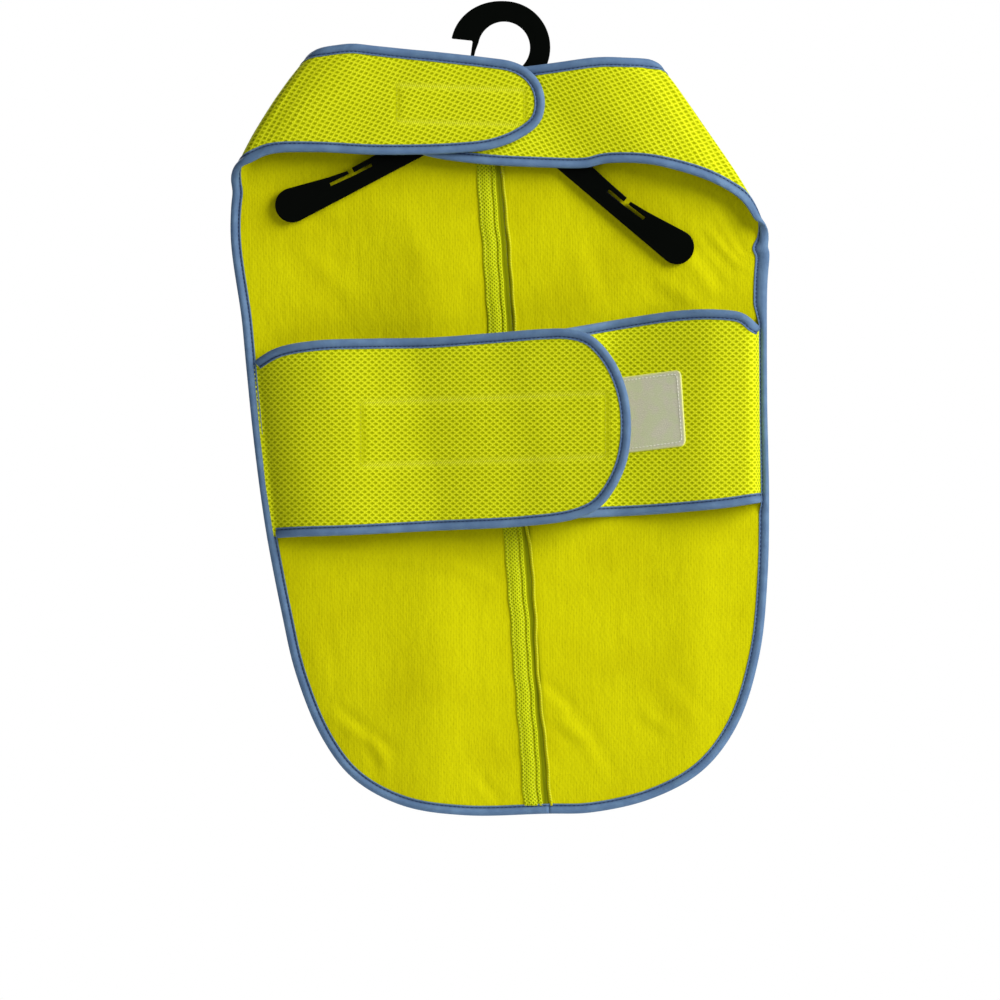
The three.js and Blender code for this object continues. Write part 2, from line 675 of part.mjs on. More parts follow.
function hangerShape() {
  const centre = vec(0, 0);
  const outer = arc(centre, HANGER.rim, HANGER.tipAngle, HANGER.stemAngle, 30).map(flared);
  const inner = arc(centre, HANGER.bore, HANGER.stemAngle, HANGER.tipAngle, 24);
  const right = armOutline(1);
  const left = armOutline(-1).toReversed();
  const outerStem = new THREE.QuadraticBezierCurve(outer.at(-1), vec(17, -31), right[0]);
  const innerStem = new THREE.QuadraticBezierCurve(left.at(-1), vec(-2, -23), inner[0]);
  const outline = [
    ...outer,
    ...outerStem.getPoints(6).slice(1, -1),
    ...right,
    vec(0, -HANGER.drop),
    ...left,
    ...innerStem.getPoints(6).slice(1, -1),
    ...inner,
    ...HOOK_END.map(point),
  ];
  const hung = outline.map((p) => p.rotateAround(centre, -HANGER.tilt).add(vec(0, -HANGER.bore)));
  return new THREE.Shape(hung);
}

function hangerGeometry() {
  const { bevel } = HANGER;
  const geometry = new THREE.ExtrudeGeometry(hangerShape(), {
    depth: HANGER_DEPTH - 2 * bevel,
    bevelEnabled: true,
    bevelThickness: bevel,
    bevelSize: bevel,
    bevelOffset: -bevel,
    bevelSegments: 1,
  });
  geometry.translate(0, 0, bevel - HANGER_DEPTH / 2);
  geometry.rotateX(Math.PI / 2);
  return geometry;
}

// ---------------------------------------------------------------- assembly

const vest = new THREE.Group();

function add(name, geometry, color, roughness, parent = vest) {
  const material = new THREE.MeshStandardMaterial({ color, roughness, metalness: 0 });
  const mesh = new THREE.Mesh(geometry, material);
  mesh.name = name;
  parent.add(mesh);
}

const ROUGHNESS = { mesh: 0.85, tape: 0.7, fastener: 0.9, plastic: 0.4 };

// Where a belly strap is sewn in, the side binding's front has to step over it.
const STEP = { inner: 1.5, outer: 9 }; // distances beyond the strap's edges where the step ends
// How much further out a binding stands, on its face and at its edge, where it rounds the shoulder fold.
const FOLD_EASE = { face: 1.1, edge: 0.3 };
const PATH_END = 0.4; // a binding stops this far from the end of its path

function sideHeights({ base }) {
  // Heights at which the side binding steps out over the sewn-in strap and back again.
  return [base.top + STEP.outer, base.top + STEP.inner, base.bottom - STEP.inner, base.bottom - STEP.outer];
}

function sideLevels(strap, fold) {
  // Levels of the two sides of the binding along the edge that the strap is sewn to.
  const [above, top, bottom, below] = sideHeights(strap);
  const { mapLinear, clamp } = THREE.MathUtils;
  return (p) => {
    const near = fold.near(p);
    const onSide = Math.abs(p.x - sideAt(strap.side, p.y)) < BINDING_WIDTH && near === 0 ? 1 : 0;
    const up = clamp(mapLinear(p.y, above, top, 0, 1), 0, 1);
    const down = clamp(mapLinear(p.y, below, bottom, 0, 1), 0, 1);
    const step = STACK * onSide * Math.min(up, down);
    return {
      coarse: ON_FACE + FOLD_EASE.face * near,
      smooth: ON_FACE + step,
      gap: TOUCH + FOLD_EASE.edge * near,
    };
  };
}

function divided(path, heights) {
  // Adds points to the path where it passes the given heights on its way down or up the side.
  const points = [path[0]];
  for (const [k, b] of path.slice(1).entries()) {
    const a = path[k];
    const crossed = heights.filter((z) => (z - a.y) * (z - b.y) < 0);
    const shares = crossed.map((z) => (z - a.y) / (b.y - a.y)).toSorted((s, t) => s - t);
    points.push(...shares.map((share) => a.clone().lerp(b, share)), b);
  }
  return points;
}

function shortened(path) {
  // The path without its last bit at either end, so that bindings that meet do not touch.
  const towards = (a, b) => a.clone().add(b.clone().sub(a).setLength(PATH_END));
  return [towards(path[0], path[1]), ...path.slice(1, -1), towards(path.at(-1), path.at(-2))];
}

const plainLevels = () => ({ coarse: ON_FACE, smooth: ON_FACE, gap: TOUCH });

const HALVES = {
  left: { cut: LEFT_HALF, belly: LEFT_BELLY },
  right: { cut: RIGHT_HALF, belly: RIGHT_BELLY },
};
const folds = {};

for (const [side, { cut, belly }] of Object.entries(HALVES)) {
  const half = cutHalf(cut);
  const { place } = half.fold;
  folds[side] = half.fold;
  add(`half_${side}`, sheetSolid(half.rows, place, -HALF_CLOTH, HALF_CLOTH), COLOURS.mesh, ROUGHNESS.mesh);
  // The binding's path keeps the cloth on its left, so the right half's edge is followed backwards.
  const edge = side === 'left' ? boundEdge(half) : boundEdge(half).toReversed();
  const path = shortened(divided(edge, sideHeights(belly)));
  const binding = bindingSolid(path, place, sideLevels(belly, half.fold));
  add(`binding_${side}`, binding, COLOURS.tape, ROUGHNESS.tape);

  const rows = cutBelly(belly);
  const strap = sheetSolid(rows, belly.place, -HALF_CLOTH, HALF_CLOTH);
  add(`belly_strap_${side}`, strap, COLOURS.mesh, ROUGHNESS.mesh);
  const strapEdge = side === 'left' ? bellyEdge(rows).toReversed() : bellyEdge(rows);
  const strapBinding = bindingSolid(strapEdge, belly.place, plainLevels);
  add(`belly_binding_${side}`, strapBinding, COLOURS.tape, ROUGHNESS.tape);
}

// Hook tape is sewn behind the straps that go on top, loop tape in front of those that go under.
const unfolded = (fold) => (p, level) => fold.place(fold.unfold(p), level);
const CARRIERS = {
  chest_hook: { place: unfolded(folds.left), behind: true },
  chest_loop: { place: unfolded(folds.right), behind: false },
  belly_hook: { place: LEFT_BELLY.place, behind: true },
  belly_loop: { place: RIGHT_BELLY.place, behind: false },
};

for (const [name, { corners, along }] of Object.entries(FASTENERS)) {
  const { place, behind } = CARRIERS[name];
  const near = behind ? -ON_FACE - FASTENER : ON_FACE;
  const rows = rectangle(corners, FASTENER_CELLS, along);
  add(name, sheetSolid(rows, place, near, near + FASTENER), COLOURS.loop, ROUGHNESS.fastener);
}

for (const [name, strip] of Object.entries(SEAM_STRIPS)) {
  const rows = seamStrip(strip);
  const solid = sheetSolid(rows, folds.left.place, -ON_FACE - strip.thickness, -ON_FACE);
  add(name, solid, COLOURS.mesh, ROUGHNESS.mesh);
}

add('hanger', hangerGeometry(), COLOURS.plastic, ROUGHNESS.plastic);

export default vest;
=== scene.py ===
# %% [markdown]
# # A dog's cooling vest on its hanger
# The vest hangs flat. Its two halves are spacer mesh: an open net outside, a close knit inside, and a
# springy pile between. Blue tape binds the edges, and two straps close over each other at the chest
# and two at the belly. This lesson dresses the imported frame: it loads the solids, works out each cloth
# from its flat cut with numpy, and gives every surface a finish made of shader nodes.

import json

import bpy
import numpy as np
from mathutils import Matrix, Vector

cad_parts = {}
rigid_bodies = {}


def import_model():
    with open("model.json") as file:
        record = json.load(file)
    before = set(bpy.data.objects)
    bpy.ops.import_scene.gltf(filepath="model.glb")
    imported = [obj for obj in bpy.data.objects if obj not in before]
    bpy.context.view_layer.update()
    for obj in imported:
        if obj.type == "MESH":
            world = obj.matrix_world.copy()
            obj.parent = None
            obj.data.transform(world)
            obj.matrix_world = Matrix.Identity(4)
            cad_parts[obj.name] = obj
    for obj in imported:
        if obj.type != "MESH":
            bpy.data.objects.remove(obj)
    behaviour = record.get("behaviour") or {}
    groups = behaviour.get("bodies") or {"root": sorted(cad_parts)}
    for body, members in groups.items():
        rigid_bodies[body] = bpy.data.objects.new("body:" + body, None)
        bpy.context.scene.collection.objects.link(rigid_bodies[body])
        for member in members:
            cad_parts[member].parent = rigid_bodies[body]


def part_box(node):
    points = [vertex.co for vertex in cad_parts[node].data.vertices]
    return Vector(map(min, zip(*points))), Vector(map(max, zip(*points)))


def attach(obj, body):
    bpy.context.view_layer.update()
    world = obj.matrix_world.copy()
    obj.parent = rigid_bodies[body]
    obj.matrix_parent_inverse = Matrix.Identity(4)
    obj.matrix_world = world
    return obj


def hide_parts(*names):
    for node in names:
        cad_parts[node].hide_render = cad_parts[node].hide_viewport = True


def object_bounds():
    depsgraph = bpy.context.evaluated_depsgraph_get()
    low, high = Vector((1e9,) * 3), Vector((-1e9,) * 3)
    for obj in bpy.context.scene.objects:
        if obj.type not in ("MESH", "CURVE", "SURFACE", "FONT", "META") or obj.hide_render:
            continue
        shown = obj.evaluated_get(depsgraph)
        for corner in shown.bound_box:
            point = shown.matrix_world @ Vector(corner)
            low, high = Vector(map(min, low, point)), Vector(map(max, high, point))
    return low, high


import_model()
cad_low, cad_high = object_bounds()
print("frame box in metres:", [round(v, 3) for v in (*cad_low, *cad_high)])

# %% [markdown]
# ## Sizes taken from the frame
# The cut of a cloth piece is easiest to write in millimetres, so the script works in millimetres and
# turns them into metres only when a mesh is made. How far each layer lies from the hanger is read from
# the solids' boxes, so the looks can't drift away from the frame.

# %% Layers
MM = 0.001
CLOTH = 2.2
HALF_CLOTH = CLOTH / 2
TOUCH = 0.35


def reach_of(node, axis):
    """Lowest and highest value of one CAD solid along an axis (0, 1, 2), in millimetres."""
    low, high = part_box(node)
    return low[axis] / MM, high[axis] / MM


BACK_Y = reach_of("half_left", 1)[1] - HALF_CLOTH
STRAP_Y = {
    "left": reach_of("half_left", 1)[0] + HALF_CLOTH,
    "right": reach_of("half_right", 1)[0] + HALF_CLOTH,
}
LAP = STRAP_Y["right"] - STRAP_Y["left"]
STACK = CLOTH + TOUCH
print("back panel at y", round(BACK_Y, 2), "straps at", {k: round(v, 2) for k, v in STRAP_Y.items()}, "mm")

# %% [markdown]
# ## Curves and patches
# A pattern cutter joins a few points with a flexible rule. The same curve here is a centripetal
# Catmull-Rom spline, which never overshoots between close points. Two such curves and two rows make a
# Coons patch, which fills a four-sided outline with an even grid, so the grain of the cloth follows its
# edges without any modelling by hand.

# %% Curves


def table(text):
    """Reads rows of a label, an x and a z in millimetres into an array of points."""
    return np.array([[float(word) for word in line.split()[-2:]] for line in text.strip().splitlines()])


def smooth_curve(points):
    """Curve through the points, as a function of the share of its length, 0 to 1.

    Between two points it is a cubic whose end slopes come from the neighbouring points, each weighed by
    the square root of its distance.
    """
    p = np.vstack([2 * points[0] - points[1], points, 2 * points[-1] - points[-2]])
    gap = np.sqrt(np.linalg.norm(np.diff(p, axis=0), axis=1))[:, None]
    d0, d1, d2 = gap[:-2], gap[1:-1], gap[2:]
    a, b, c, d = p[:-3], p[1:-2], p[2:-1], p[3:]
    leave = ((b - a) / d0 - (c - a) / (d0 + d1) + (c - b) / d1) * d1
    arrive = ((c - b) / d1 - (d - b) / (d1 + d2) + (d - c) / d2) * d1
    t = np.linspace(0, 1, 48, endpoint=False)[None, :, None]
    b, c, leave, arrive = (v[:, None] for v in (b, c, leave, arrive))
    cubic = (2 * t**3 - 3 * t**2 + 1) * b + (3 * t**2 - 2 * t**3) * c
    cubic = cubic + (t**3 - 2 * t**2 + t) * leave + (t**3 - t**2) * arrive
    line = np.vstack([cubic.reshape(-1, 2), points[-1]])
    return polyline(line)


def polyline(line):
    """A broken line as a function of the share of its length."""
    length = np.concatenate([[0], np.cumsum(np.linalg.norm(np.diff(line, axis=0), axis=1))])
    share = length / length[-1]
    return lambda s: np.stack([np.interp(s, share, line[:, k]) for k in range(line.shape[1])], axis=-1)


def part_of(curve, start, end):
    """The stretch of a curve between two shares of its length, run through from 0 to 1."""
    return lambda s: curve(start + (end - start) * np.asarray(s, float))


def straight(a, b):
    return polyline(np.array([a, b], float))


# %% Patches


def coons(start, end, inner, outer, across, along):
    """Grid of flat points, rows by columns, between two end rows and the two edges that join them.

    Ruled surface between the rows, plus the ruled surface between the edges, less the bilinear surface
    of the four corners, which both of them hold.
    """
    u, v = np.linspace(0, 1, across + 1), np.linspace(0, 1, along + 1)
    first, last, left, right = start(u), end(u), inner(v), outer(v)
    corners = [(first[0] + left[0]) / 2, (first[-1] + right[0]) / 2]
    corners += [(last[0] + left[-1]) / 2, (last[-1] + right[-1]) / 2]
    u, v = u[None, :, None], v[:, None, None]
    rows = first[None] * (1 - v) + last[None] * v
    edges = left[:, None] * (1 - u) + right[:, None] * u
    low = corners[0] * (1 - u) + corners[1] * u
    high = corners[2] * (1 - u) + corners[3] * u
    return rows + edges - (low * (1 - v) + high * v)


def join_rows(*grids):
    """Grids laid end to end. Each one after the first drops its first row, which the last one ended on."""
    return np.concatenate([grids[0]] + [grid[1:] for grid in grids[1:]])


def ramp(x, start, end):
    """0 before start, 1 after end, and a smooth S between them."""
    t = np.clip((np.asarray(x, float) - start) / (end - start), 0, 1)
    return t * t * (3 - 2 * t)


def bell(x, middle, width):
    """1 at the middle, falling smoothly to nothing about two widths away."""
    return np.exp(-(((x - middle) / width) ** 2))


# %% [markdown]
# ## How a cloth lies
# Each piece has one function that carries its flat points into space. A half lies in the back panel up
# to the shoulder's fold line, goes half round it and comes back as the chest strap. It could be folded by
# a cloth simulation, but the real fold is a plain roll round the shoulder, and a formula keeps the bindings,
# stitches and patches exactly on it. Small troughs and ridges are added along the cloth's normal.

# %% Creases


def crease(p, start, end, width, height):
    """A soft fold along a line: a ridge with a shallow trough on its lower side, fading at both ends."""
    a, b = np.array(start, float), np.array(end, float)
    run = b - a
    length = np.linalg.norm(run)
    along = (p - a) @ run / length**2
    side = (p - a) @ np.array([-run[1], run[0]]) / length
    fade = ramp(along, -0.15, 0.3) * (1 - ramp(along, 0.7, 1.15))
    return height * fade * (bell(side, 0, width) - 0.6 * bell(side, -1.7 * width, width))


# The inner face's folds, in the flat. A positive height stands towards the coarse face.
BACK_CREASES = [
    # from x, z, to x, z, width, height
    (145, -146, 172, -176, 4.5, -0.75),
    (128, -150, 160, -194, 5.0, 0.8),
    (107, -182, 142, -205, 5.5, -0.7),
    (104, -112, 128, -124, 5.0, 0.6),
    (150, -121, 178, -160, 4.0, 0.65),
    (60, -150, 78, -205, 7.0, 0.45),
    (-170, -120, -120, -150, 7.0, 0.6),
    (-150, -160, -100, -205, 7.0, -0.5),
    (-60, -130, -40, -190, 8.0, 0.4),
    (112, -205, 172, -214, 7.0, -0.6),
    (-168, -236, -100, -226, 6.0, 0.5),
    (-150, -378, 0, -394, 5.0, -0.8),
    (-40, -380, 4, -404, 5.0, 0.6),
    (-122, -492, -78, -526, 4.5, 0.9),
    (-96, -512, -84, -540, 4.0, -0.7),
    (-20, -542, -2, -562, 4.0, 0.6),
    (28, -474, 50, -494, 4.0, 0.8),
    (34, -500, 62, -520, 4.5, -0.7),
    (44, -486, 84, -545, 5.0, 0.55),
    (98, -496, 122, -512, 4.5, -0.6),
    (120, -470, 150, -500, 6.0, 0.5),
    (60, -400, 140, -386, 6.0, 0.5),
    (-130, -430, -118, -480, 7.0, 0.45),
]
# The left side's edge: x at each distance below the hook.
LEFT_SIDE_DOWN = [240, 305, 366, 427, 470, 516]
LEFT_SIDE_X = [-185.6, -179, -170.7, -159.2, -149.2, -130.3]
# Curls to the rear: height, where each begins and the distance over which it grows to that height.
CORNER_CURL, TAIL_CURL = (6.0, 385, 150), (5.4, 440, 130)
SIDE_CURL, SIDE_REACH = 3.2, 34
# Upright swells towards the dog's side, and the hollow beside them: height, x of the crest, width.
SWELLS, HOLLOW = [(2.4, -50, 26), (1.7, 136, 20)], (2.8, -112, 34)


def curl(distance, height, start, reach):
    """Grows as the square of the distance past a start, to just over its full height."""
    return height * np.clip((distance - start) / reach, 0, 1.05) ** 2


def swell(x, height, middle, width):
    return height * bell(x, middle, width)


def back_relief(p):
    """Relief of the back panel: broad quiet waves, the table's folds, and edges that curl to the rear.

    One curl lies past a slanting line across the lower left, one at the tail and one along the left side,
    within a hand's breadth of its edge. The upright swells begin below the shoulders.
    """
    x, z = p[..., 0], p[..., 1]
    waves = 0.45 * np.sin(x / 31 + 0.6 * np.sin(z / 57)) + 0.35 * np.sin(z / 43 - x / 90 + 1.3)
    folds = sum(crease(p, row[0:2], row[2:4], row[4], row[5]) for row in BACK_CREASES)
    from_side = x - np.interp(-z, LEFT_SIDE_DOWN, LEFT_SIDE_X)
    side = SIDE_CURL * np.clip(1 - from_side / SIDE_REACH, 0, 1) ** 2 * ramp(-z, 372, 415)
    corner, tail = curl(-0.55 * x - 0.84 * z, *CORNER_CURL), curl(-z, *TAIL_CURL)
    swells = sum(swell(x, *row) for row in SWELLS) - swell(x, *HOLLOW) * (1 - ramp(-z, 250, 330))
    return waves + folds + corner + side + tail - swells * ramp(-z, 130, 175)


# %% Shoulder fold


def graph(rows):
    """Smooth graph through rows of (at, value): cubic pieces that are level where the value is."""
    x, y = (np.array(column, float) for column in zip(*rows))
    step = np.diff(y) / np.diff(x)
    before, after = np.concatenate([step[:1], step]), np.concatenate([step, step[-1:]])
    slope = np.where(before * after > 0, 2 * before * after / (before + after + 1e-12), 0)

    def value(at):
        at = np.clip(at, x[0], x[-1])
        k = np.clip(np.searchsorted(x, at) - 1, 0, len(x) - 2)
        width = x[k + 1] - x[k]
        t = (at - x[k]) / width
        bend = y[k] + (y[k + 1] - y[k]) * t * t * (3 - 2 * t)
        return bend + width * (slope[k] * t * (1 - t) ** 2 - slope[k + 1] * t * t * (1 - t))

    return value


# Over what distance a fold's swelling dies out beside it, and how wide the sag at its foot is.
SWELL_REACH, SAG_REACH = 34, 26
# How far the straps' lower edges swing forward.
SWING = 4.2


class Shoulder:
    """The fold between a half's back panel and its chest strap.

    top and foot are the ends of its line. strap_y is the depth of the strap, sag how far the leg opening's
    corner drops, rise a graph of the strap's belly over the distance past the fold, and swell a dense table
    of how far the fold stands out along its line.
    """

    def __init__(self, top, foot, strap_y, sag, rise, swell):
        self.top, self.foot = np.array(top, float), np.array(foot, float)
        self.radius = (BACK_Y - strap_y) / 2
        self.turn = np.pi * self.radius
        self.length = np.linalg.norm(self.foot - self.top)
        self.axis = (self.foot - self.top) / self.length
        side = np.array([-self.axis[1], self.axis[0]])
        self.out = side * np.sign(side[0] * self.top[0])
        self.sag, self.rise, self.swell = sag, graph(rise), np.array(swell, float)

    def beyond(self, p):
        """How far a flat point lies outside the fold line."""
        return (p - self.top) @ self.out

    def along(self, distance):
        return self.top + self.axis * distance

    def mirror(self, p):
        """Where a point of the strap, given as it lies, is on the flat cut, and the other way round."""
        return p + self.out * (self.turn - 2 * self.beyond(p))[..., None]

    def swollen(self, p, d):
        """How far the fold stands outside its line: a graph along the fold, fading out beside it."""
        height = np.interp((p - self.top) @ self.axis, *self.swell.T)
        return height * ramp(d, -SWELL_REACH, 0) * (1 - ramp(d - self.turn, 0, SWELL_REACH))

    def place(self, p, level):
        """Flat point to space. The cloth runs straight, half round a cylinder, then straight back.

        level counts from the cloth's middle towards its coarse face.
        """
        p = np.asarray(p, float)
        d = self.beyond(p)
        angle = np.clip(d, 0, self.turn) / self.radius
        sideways = np.where(d > 0, self.radius * np.sin(angle) - np.maximum(d - self.turn, 0) - d, 0)
        flat = p + self.out * (sideways + self.swollen(p, d))[..., None]
        from_foot = np.hypot((p - self.foot) @ self.axis, np.minimum(d, 0))
        flat[..., 1] -= self.sag * bell(from_foot, 0, SAG_REACH) * (1 + np.cos(angle)) / 2
        depth = BACK_Y - self.radius * (1 - np.cos(angle))
        outwards = self.out * np.sin(angle)[..., None]
        normal = np.stack([outwards[..., 0], np.cos(angle), outwards[..., 1]], axis=-1)
        relief = back_relief(p) * (1 - ramp(d, -25, 2)) + strap_relief(self, p, d)
        middle = np.stack([flat[..., 0], depth, flat[..., 1]], axis=-1)
        return middle + normal * (level + relief)[..., None]


def strap_relief(fold, p, d):
    """How far a chest strap stands forward of its plane, at flat points.

    Both straps hang from the shoulders, so their lower edges swing forward by the same amount wherever they
    overlap. Beside its fold each strap bellies out by its own graph, with faint ridges along the fold.
    """
    past = d - fold.turn
    across = (p - fold.top) @ fold.axis
    swing = SWING * ramp(-fold.mirror(p)[..., 1], 12, 112) * ramp(past, 0, 46)
    waves = 0.35 * np.sin(past / 8.5) * ramp(past, 30, 60) * (1 - ramp(past, 80, 120))
    belly = fold.rise(past) * (0.85 + 0.15 * bell(across, fold.length * 0.5, 50))
    ridges = 0.25 * np.sin(2 * np.pi * past / 4.6 + np.sin(across / 13)) * bell(past, 6, 18)
    return belly + ridges * ramp(past, -fold.turn * 0.4, 12) + swing + waves


# %% [markdown]
# ## The cut of the two halves
# Each table follows one edge as it lies: the strap's edge with the strap folded forward, the neck, and the
# outline from the fold down the side to the tail. The left strap closes on top, so its fold is the wider one.

# %% Folds


def swell_rows(*rows, margin=12, reach=4):
    """A dense table through (distance along the fold, swelling) rows, rounded by averaging."""
    x, y = np.array(rows, float).T
    at = np.arange(x[0] - margin, x[-1] + margin, 1.0)
    window = np.full(2 * reach + 1, 1 / (2 * reach + 1))
    height = np.convolve(np.pad(np.interp(at, x, y), reach, mode="edge"), window, mode="valid")
    return np.stack([at, height], axis=1)


LEFT_FOLD = Shoulder(
    top=(-122.6, -18),
    foot=(-183, -101.9),
    strap_y=STRAP_Y["left"],
    sag=5,
    rise=[(0, 0), (4, 1.2), (8, 2.0), (13, 2.5), (20, 2.3), (32, 1.1), (45, 0.25), (58, 0), (300, 0)],
    swell=swell_rows(
        (-12, -2.0), (0, -1.4), (8, 0.2), (16, 1.9), (26, 3.3), (38, 3.9), (54, 3.9), (70, 3.3), (86, 2.5),
        (98, 1.1), (106, -0.4), (114, -1.6), (122, -1.2), (134, 0)),
)
RIGHT_FOLD = Shoulder(
    top=(99.3, -26.9),
    foot=(183.8, -142.9),
    strap_y=STRAP_Y["right"],
    sag=13,
    rise=[
        (0, 0), (3, 1.6), (6, 2.9), (10, 4.1), (15, 4.8), (21, 5.1), (30, 5.1), (40, 4.4), (50, 3.0),
        (60, 1.1), (70, -0.6), (78, -1.3), (90, -1.5), (104, -1.0), (120, -0.3), (140, 0), (300, 0)],
    swell=swell_rows(
        (-10, -2.0), (0, -1.2), (8, 0.3), (14, 1.8), (24, 2.9), (34, 2.9), (52, 2.5), (70, 2.0), (90, 1.6),
        (104, 1.4), (114, 1.2), (124, 1.1), (134, 0), (140, -1.6), (146, -2.7), (149, -2.4), (155, 0.7),
        (160, 1.4), (170, 1.2), (182, 0.6), (194, 0)),
)

# %% Half tables
SEAM_TOP, SEAM_FOOT = np.array([-4.8, -74.0]), np.array([32.4, -570.0])
SEAM_GAP = 0.01
# neck_slide and side_slide: where the yoke begins beside the fold, as distances along its line.
HALVES = {
    "left": {
        "fold": LEFT_FOLD,
        "neck_slide": 28,
        "side_slide": 20.9,
        "strap": table("""
            fold-top       -122.6  -18
            highest-point  -111    -16.8
            top-edge       -91     -19.5
            top-edge       -46     -24
            top-edge       -10     -28
            end-begins     6       -30.6
            end            17.5    -36.5
            end            25.8    -47
            tip            28.4    -60
            end            24.9    -73.2
            end            12      -83.6
            bottom-edge    -7      -91.2
            bottom-edge    -31.7   -94.4
            bottom-edge    -89     -95.8
            bottom-edge    -140    -93.8
            bottom-edge    -168    -96.4
            fold-foot      -183    -101.9"""),
        "neck": table("""
            fold           -138.95 -40.72
            shoulder       -137    -57
            curve          -121    -71
            curve          -90     -76.5
            curve          -50     -75.5
            seam           -4.8    -74"""),
        "outline": table("""
            fold           -195.2  -118.86
            leg-opening    -195.9  -157.3
            leg-opening    -188.2  -213
            strap-top      -185.6  -240
            strap          -179    -305
            strap-bottom   -170.7  -366
            flank          -159.2  -427
            flank          -149.2  -470
            tail-corner    -130.3  -516.4
            tail           -108.3  -545
            tail           -74     -564
            tail           -28     -571.2
            seam           32.4    -570"""),
    },
    "right": {
        "fold": RIGHT_FOLD,
        "neck_slide": 18,
        "side_slide": 8.8,
        "strap": table("""
            fold-top       99.3    -26.9
            top-edge       72.7    -26.8
            top-edge       32      -31.8
            under-left     -17     -37.8
            end-begins     -58     -42.4
            end            -72     -46.5
            end            -81     -55.5
            tip            -84.5   -67.5
            end            -81     -80
            end            -70     -90.4
            bottom-edge    -55     -96.4
            bottom-edge    -17.3   -102
            bottom-edge    25.9    -104.4
            bottom-edge    61      -104.6
            bottom-edge    71      -101.8
            bottom-edge    103     -102.2
            bottom-edge    130.3   -108.7
            bottom-edge    152.2   -117.3
            bottom-edge    169     -127.6
            fold-foot      183.8   -142.9"""),
        "neck": table("""
            fold           109.9   -41.45
            shoulder       112.5   -56
            curve          101     -70
            curve          72      -76.5
            curve          35      -75.5
            seam           -4.8    -74"""),
        "outline": table("""
            fold           189     -150
            leg-opening    189.4   -163
            leg-opening    188.6   -195
            strap          188.6   -272
            strap-bottom   190     -345
            flank          189     -399
            flank          183.3   -455
            tail-corner    167.5   -505.7
            tail           142.9   -538.5
            tail           106     -559.1
            tail           62      -569.2
            seam           32.4    -570"""),
    },
}

# %% Half grids
STRAP_END = (0.42, 0.58)  # the stretch of a strap's edge that is its round end
OUTLINE_SPLIT = (0.09, 0.73)  # shares of the outline where the body begins and ends
ACROSS = 84
ALONG = {"strap": 84, "fold": 16, "shoulder": 44, "body": 168}


def cut_half(side):
    """Flat grid of one half, from its strap's end round the shoulder down to the tail."""
    half = HALVES[side]
    fold = half["fold"]
    sign = np.sign(fold.top[0])
    seam = straight(SEAM_TOP + [sign * SEAM_GAP, 0], SEAM_FOOT + [sign * SEAM_GAP, 0])
    edge = smooth_curve(half["strap"])
    outline = smooth_curve(half["outline"])
    neck = smooth_curve(half["neck"])
    start, end = STRAP_END

    def unfolded(first, last):
        return lambda s: fold.mirror(part_of(edge, first, last)(s))

    turned = fold.out * fold.turn
    front = straight(fold.along(0) + turned, fold.along(fold.length) + turned)
    back = straight(fold.along(half["neck_slide"]), fold.along(fold.length + half["side_slide"]))
    waist = straight(seam(0), outline(OUTLINE_SPLIT[0]))
    strap = coons(unfolded(start, end), front, unfolded(start, 0), unfolded(end, 1), ACROSS, ALONG["strap"])
    joined = [straight(front(s), back(s)) for s in (0, 1)]
    roll = coons(front, back, *joined, ACROSS, ALONG["fold"])
    yoke_edge = part_of(outline, 0, OUTLINE_SPLIT[0])
    yoke = coons(back, waist, neck, yoke_edge, ACROSS, ALONG["shoulder"])
    tail = part_of(outline, 1, OUTLINE_SPLIT[1])
    body = coons(waist, tail, seam, part_of(outline, *OUTLINE_SPLIT), ACROSS, ALONG["body"])
    return join_rows(strap, roll, yoke, body)


def bound_edge(grid):
    """The half's bound edge in the flat: neck, strap and its end, side and tail."""
    neck_row = ALONG["strap"] + ALONG["fold"] + ALONG["shoulder"]
    neck = grid[neck_row::-1, 0]
    return np.concatenate([neck, grid[0, 1:-1], grid[:, -1], grid[-1, -2::-1]])


GRIDS = {side: cut_half(side) for side in HALVES}


def grid_area(grid):
    """Area of a flat grid in square metres: half the cross product of each cell's diagonals."""
    d1, d2 = grid[1:, 1:] - grid[:-1, :-1], grid[1:, :-1] - grid[:-1, 1:]
    cross = d1[..., 0] * d2[..., 1] - d1[..., 1] * d2[..., 0]
    return float(np.abs(cross).sum() / 2) * MM * MM


print("flat area of the halves in square metres:", {s: round(grid_area(g), 4) for s, g in GRIDS.items()})

# %% [markdown]
# ## Making meshes
# Every cloth is a shell with two faces, because the net outside and the knit inside look different. The
# grid gives the coarse face, the same grid moved down its normal gives the smooth one, and a wall closes
# the rim. The flat cut goes into a UV map in metres, so the net keeps its real size and grain on the folds.

# %% Mesh helpers


def new_object(name, points_mm, faces, uv=None, face_material=None, attributes=None):
    """Smooth object from arrays: points in millimetres, faces, and one UV pair for each point."""
    mesh = bpy.data.meshes.new(name)
    mesh.from_pydata((np.asarray(points_mm) * MM).tolist(), [], [list(map(int, f)) for f in faces])
    if uv is not None:
        corner = np.empty(len(mesh.loops), dtype=np.int32)
        mesh.loops.foreach_get("vertex_index", corner)
        layer = mesh.uv_layers.new(name="cut")
        layer.data.foreach_set("uv", (np.asarray(uv)[corner] * MM).astype(np.float32).ravel())
    for key, values in (attributes or {}).items():
        layer = mesh.attributes.new(key, "FLOAT", "POINT")
        layer.data.foreach_set("value", np.asarray(values, dtype=np.float32).ravel())
    if face_material is not None:
        mesh.polygons.foreach_set("material_index", np.asarray(face_material, dtype=np.int32))
    mesh.polygons.foreach_set("use_smooth", np.full(len(mesh.polygons), True))
    mesh.update()
    made = bpy.data.objects.new(name, mesh)
    bpy.context.scene.collection.objects.link(made)
    return made


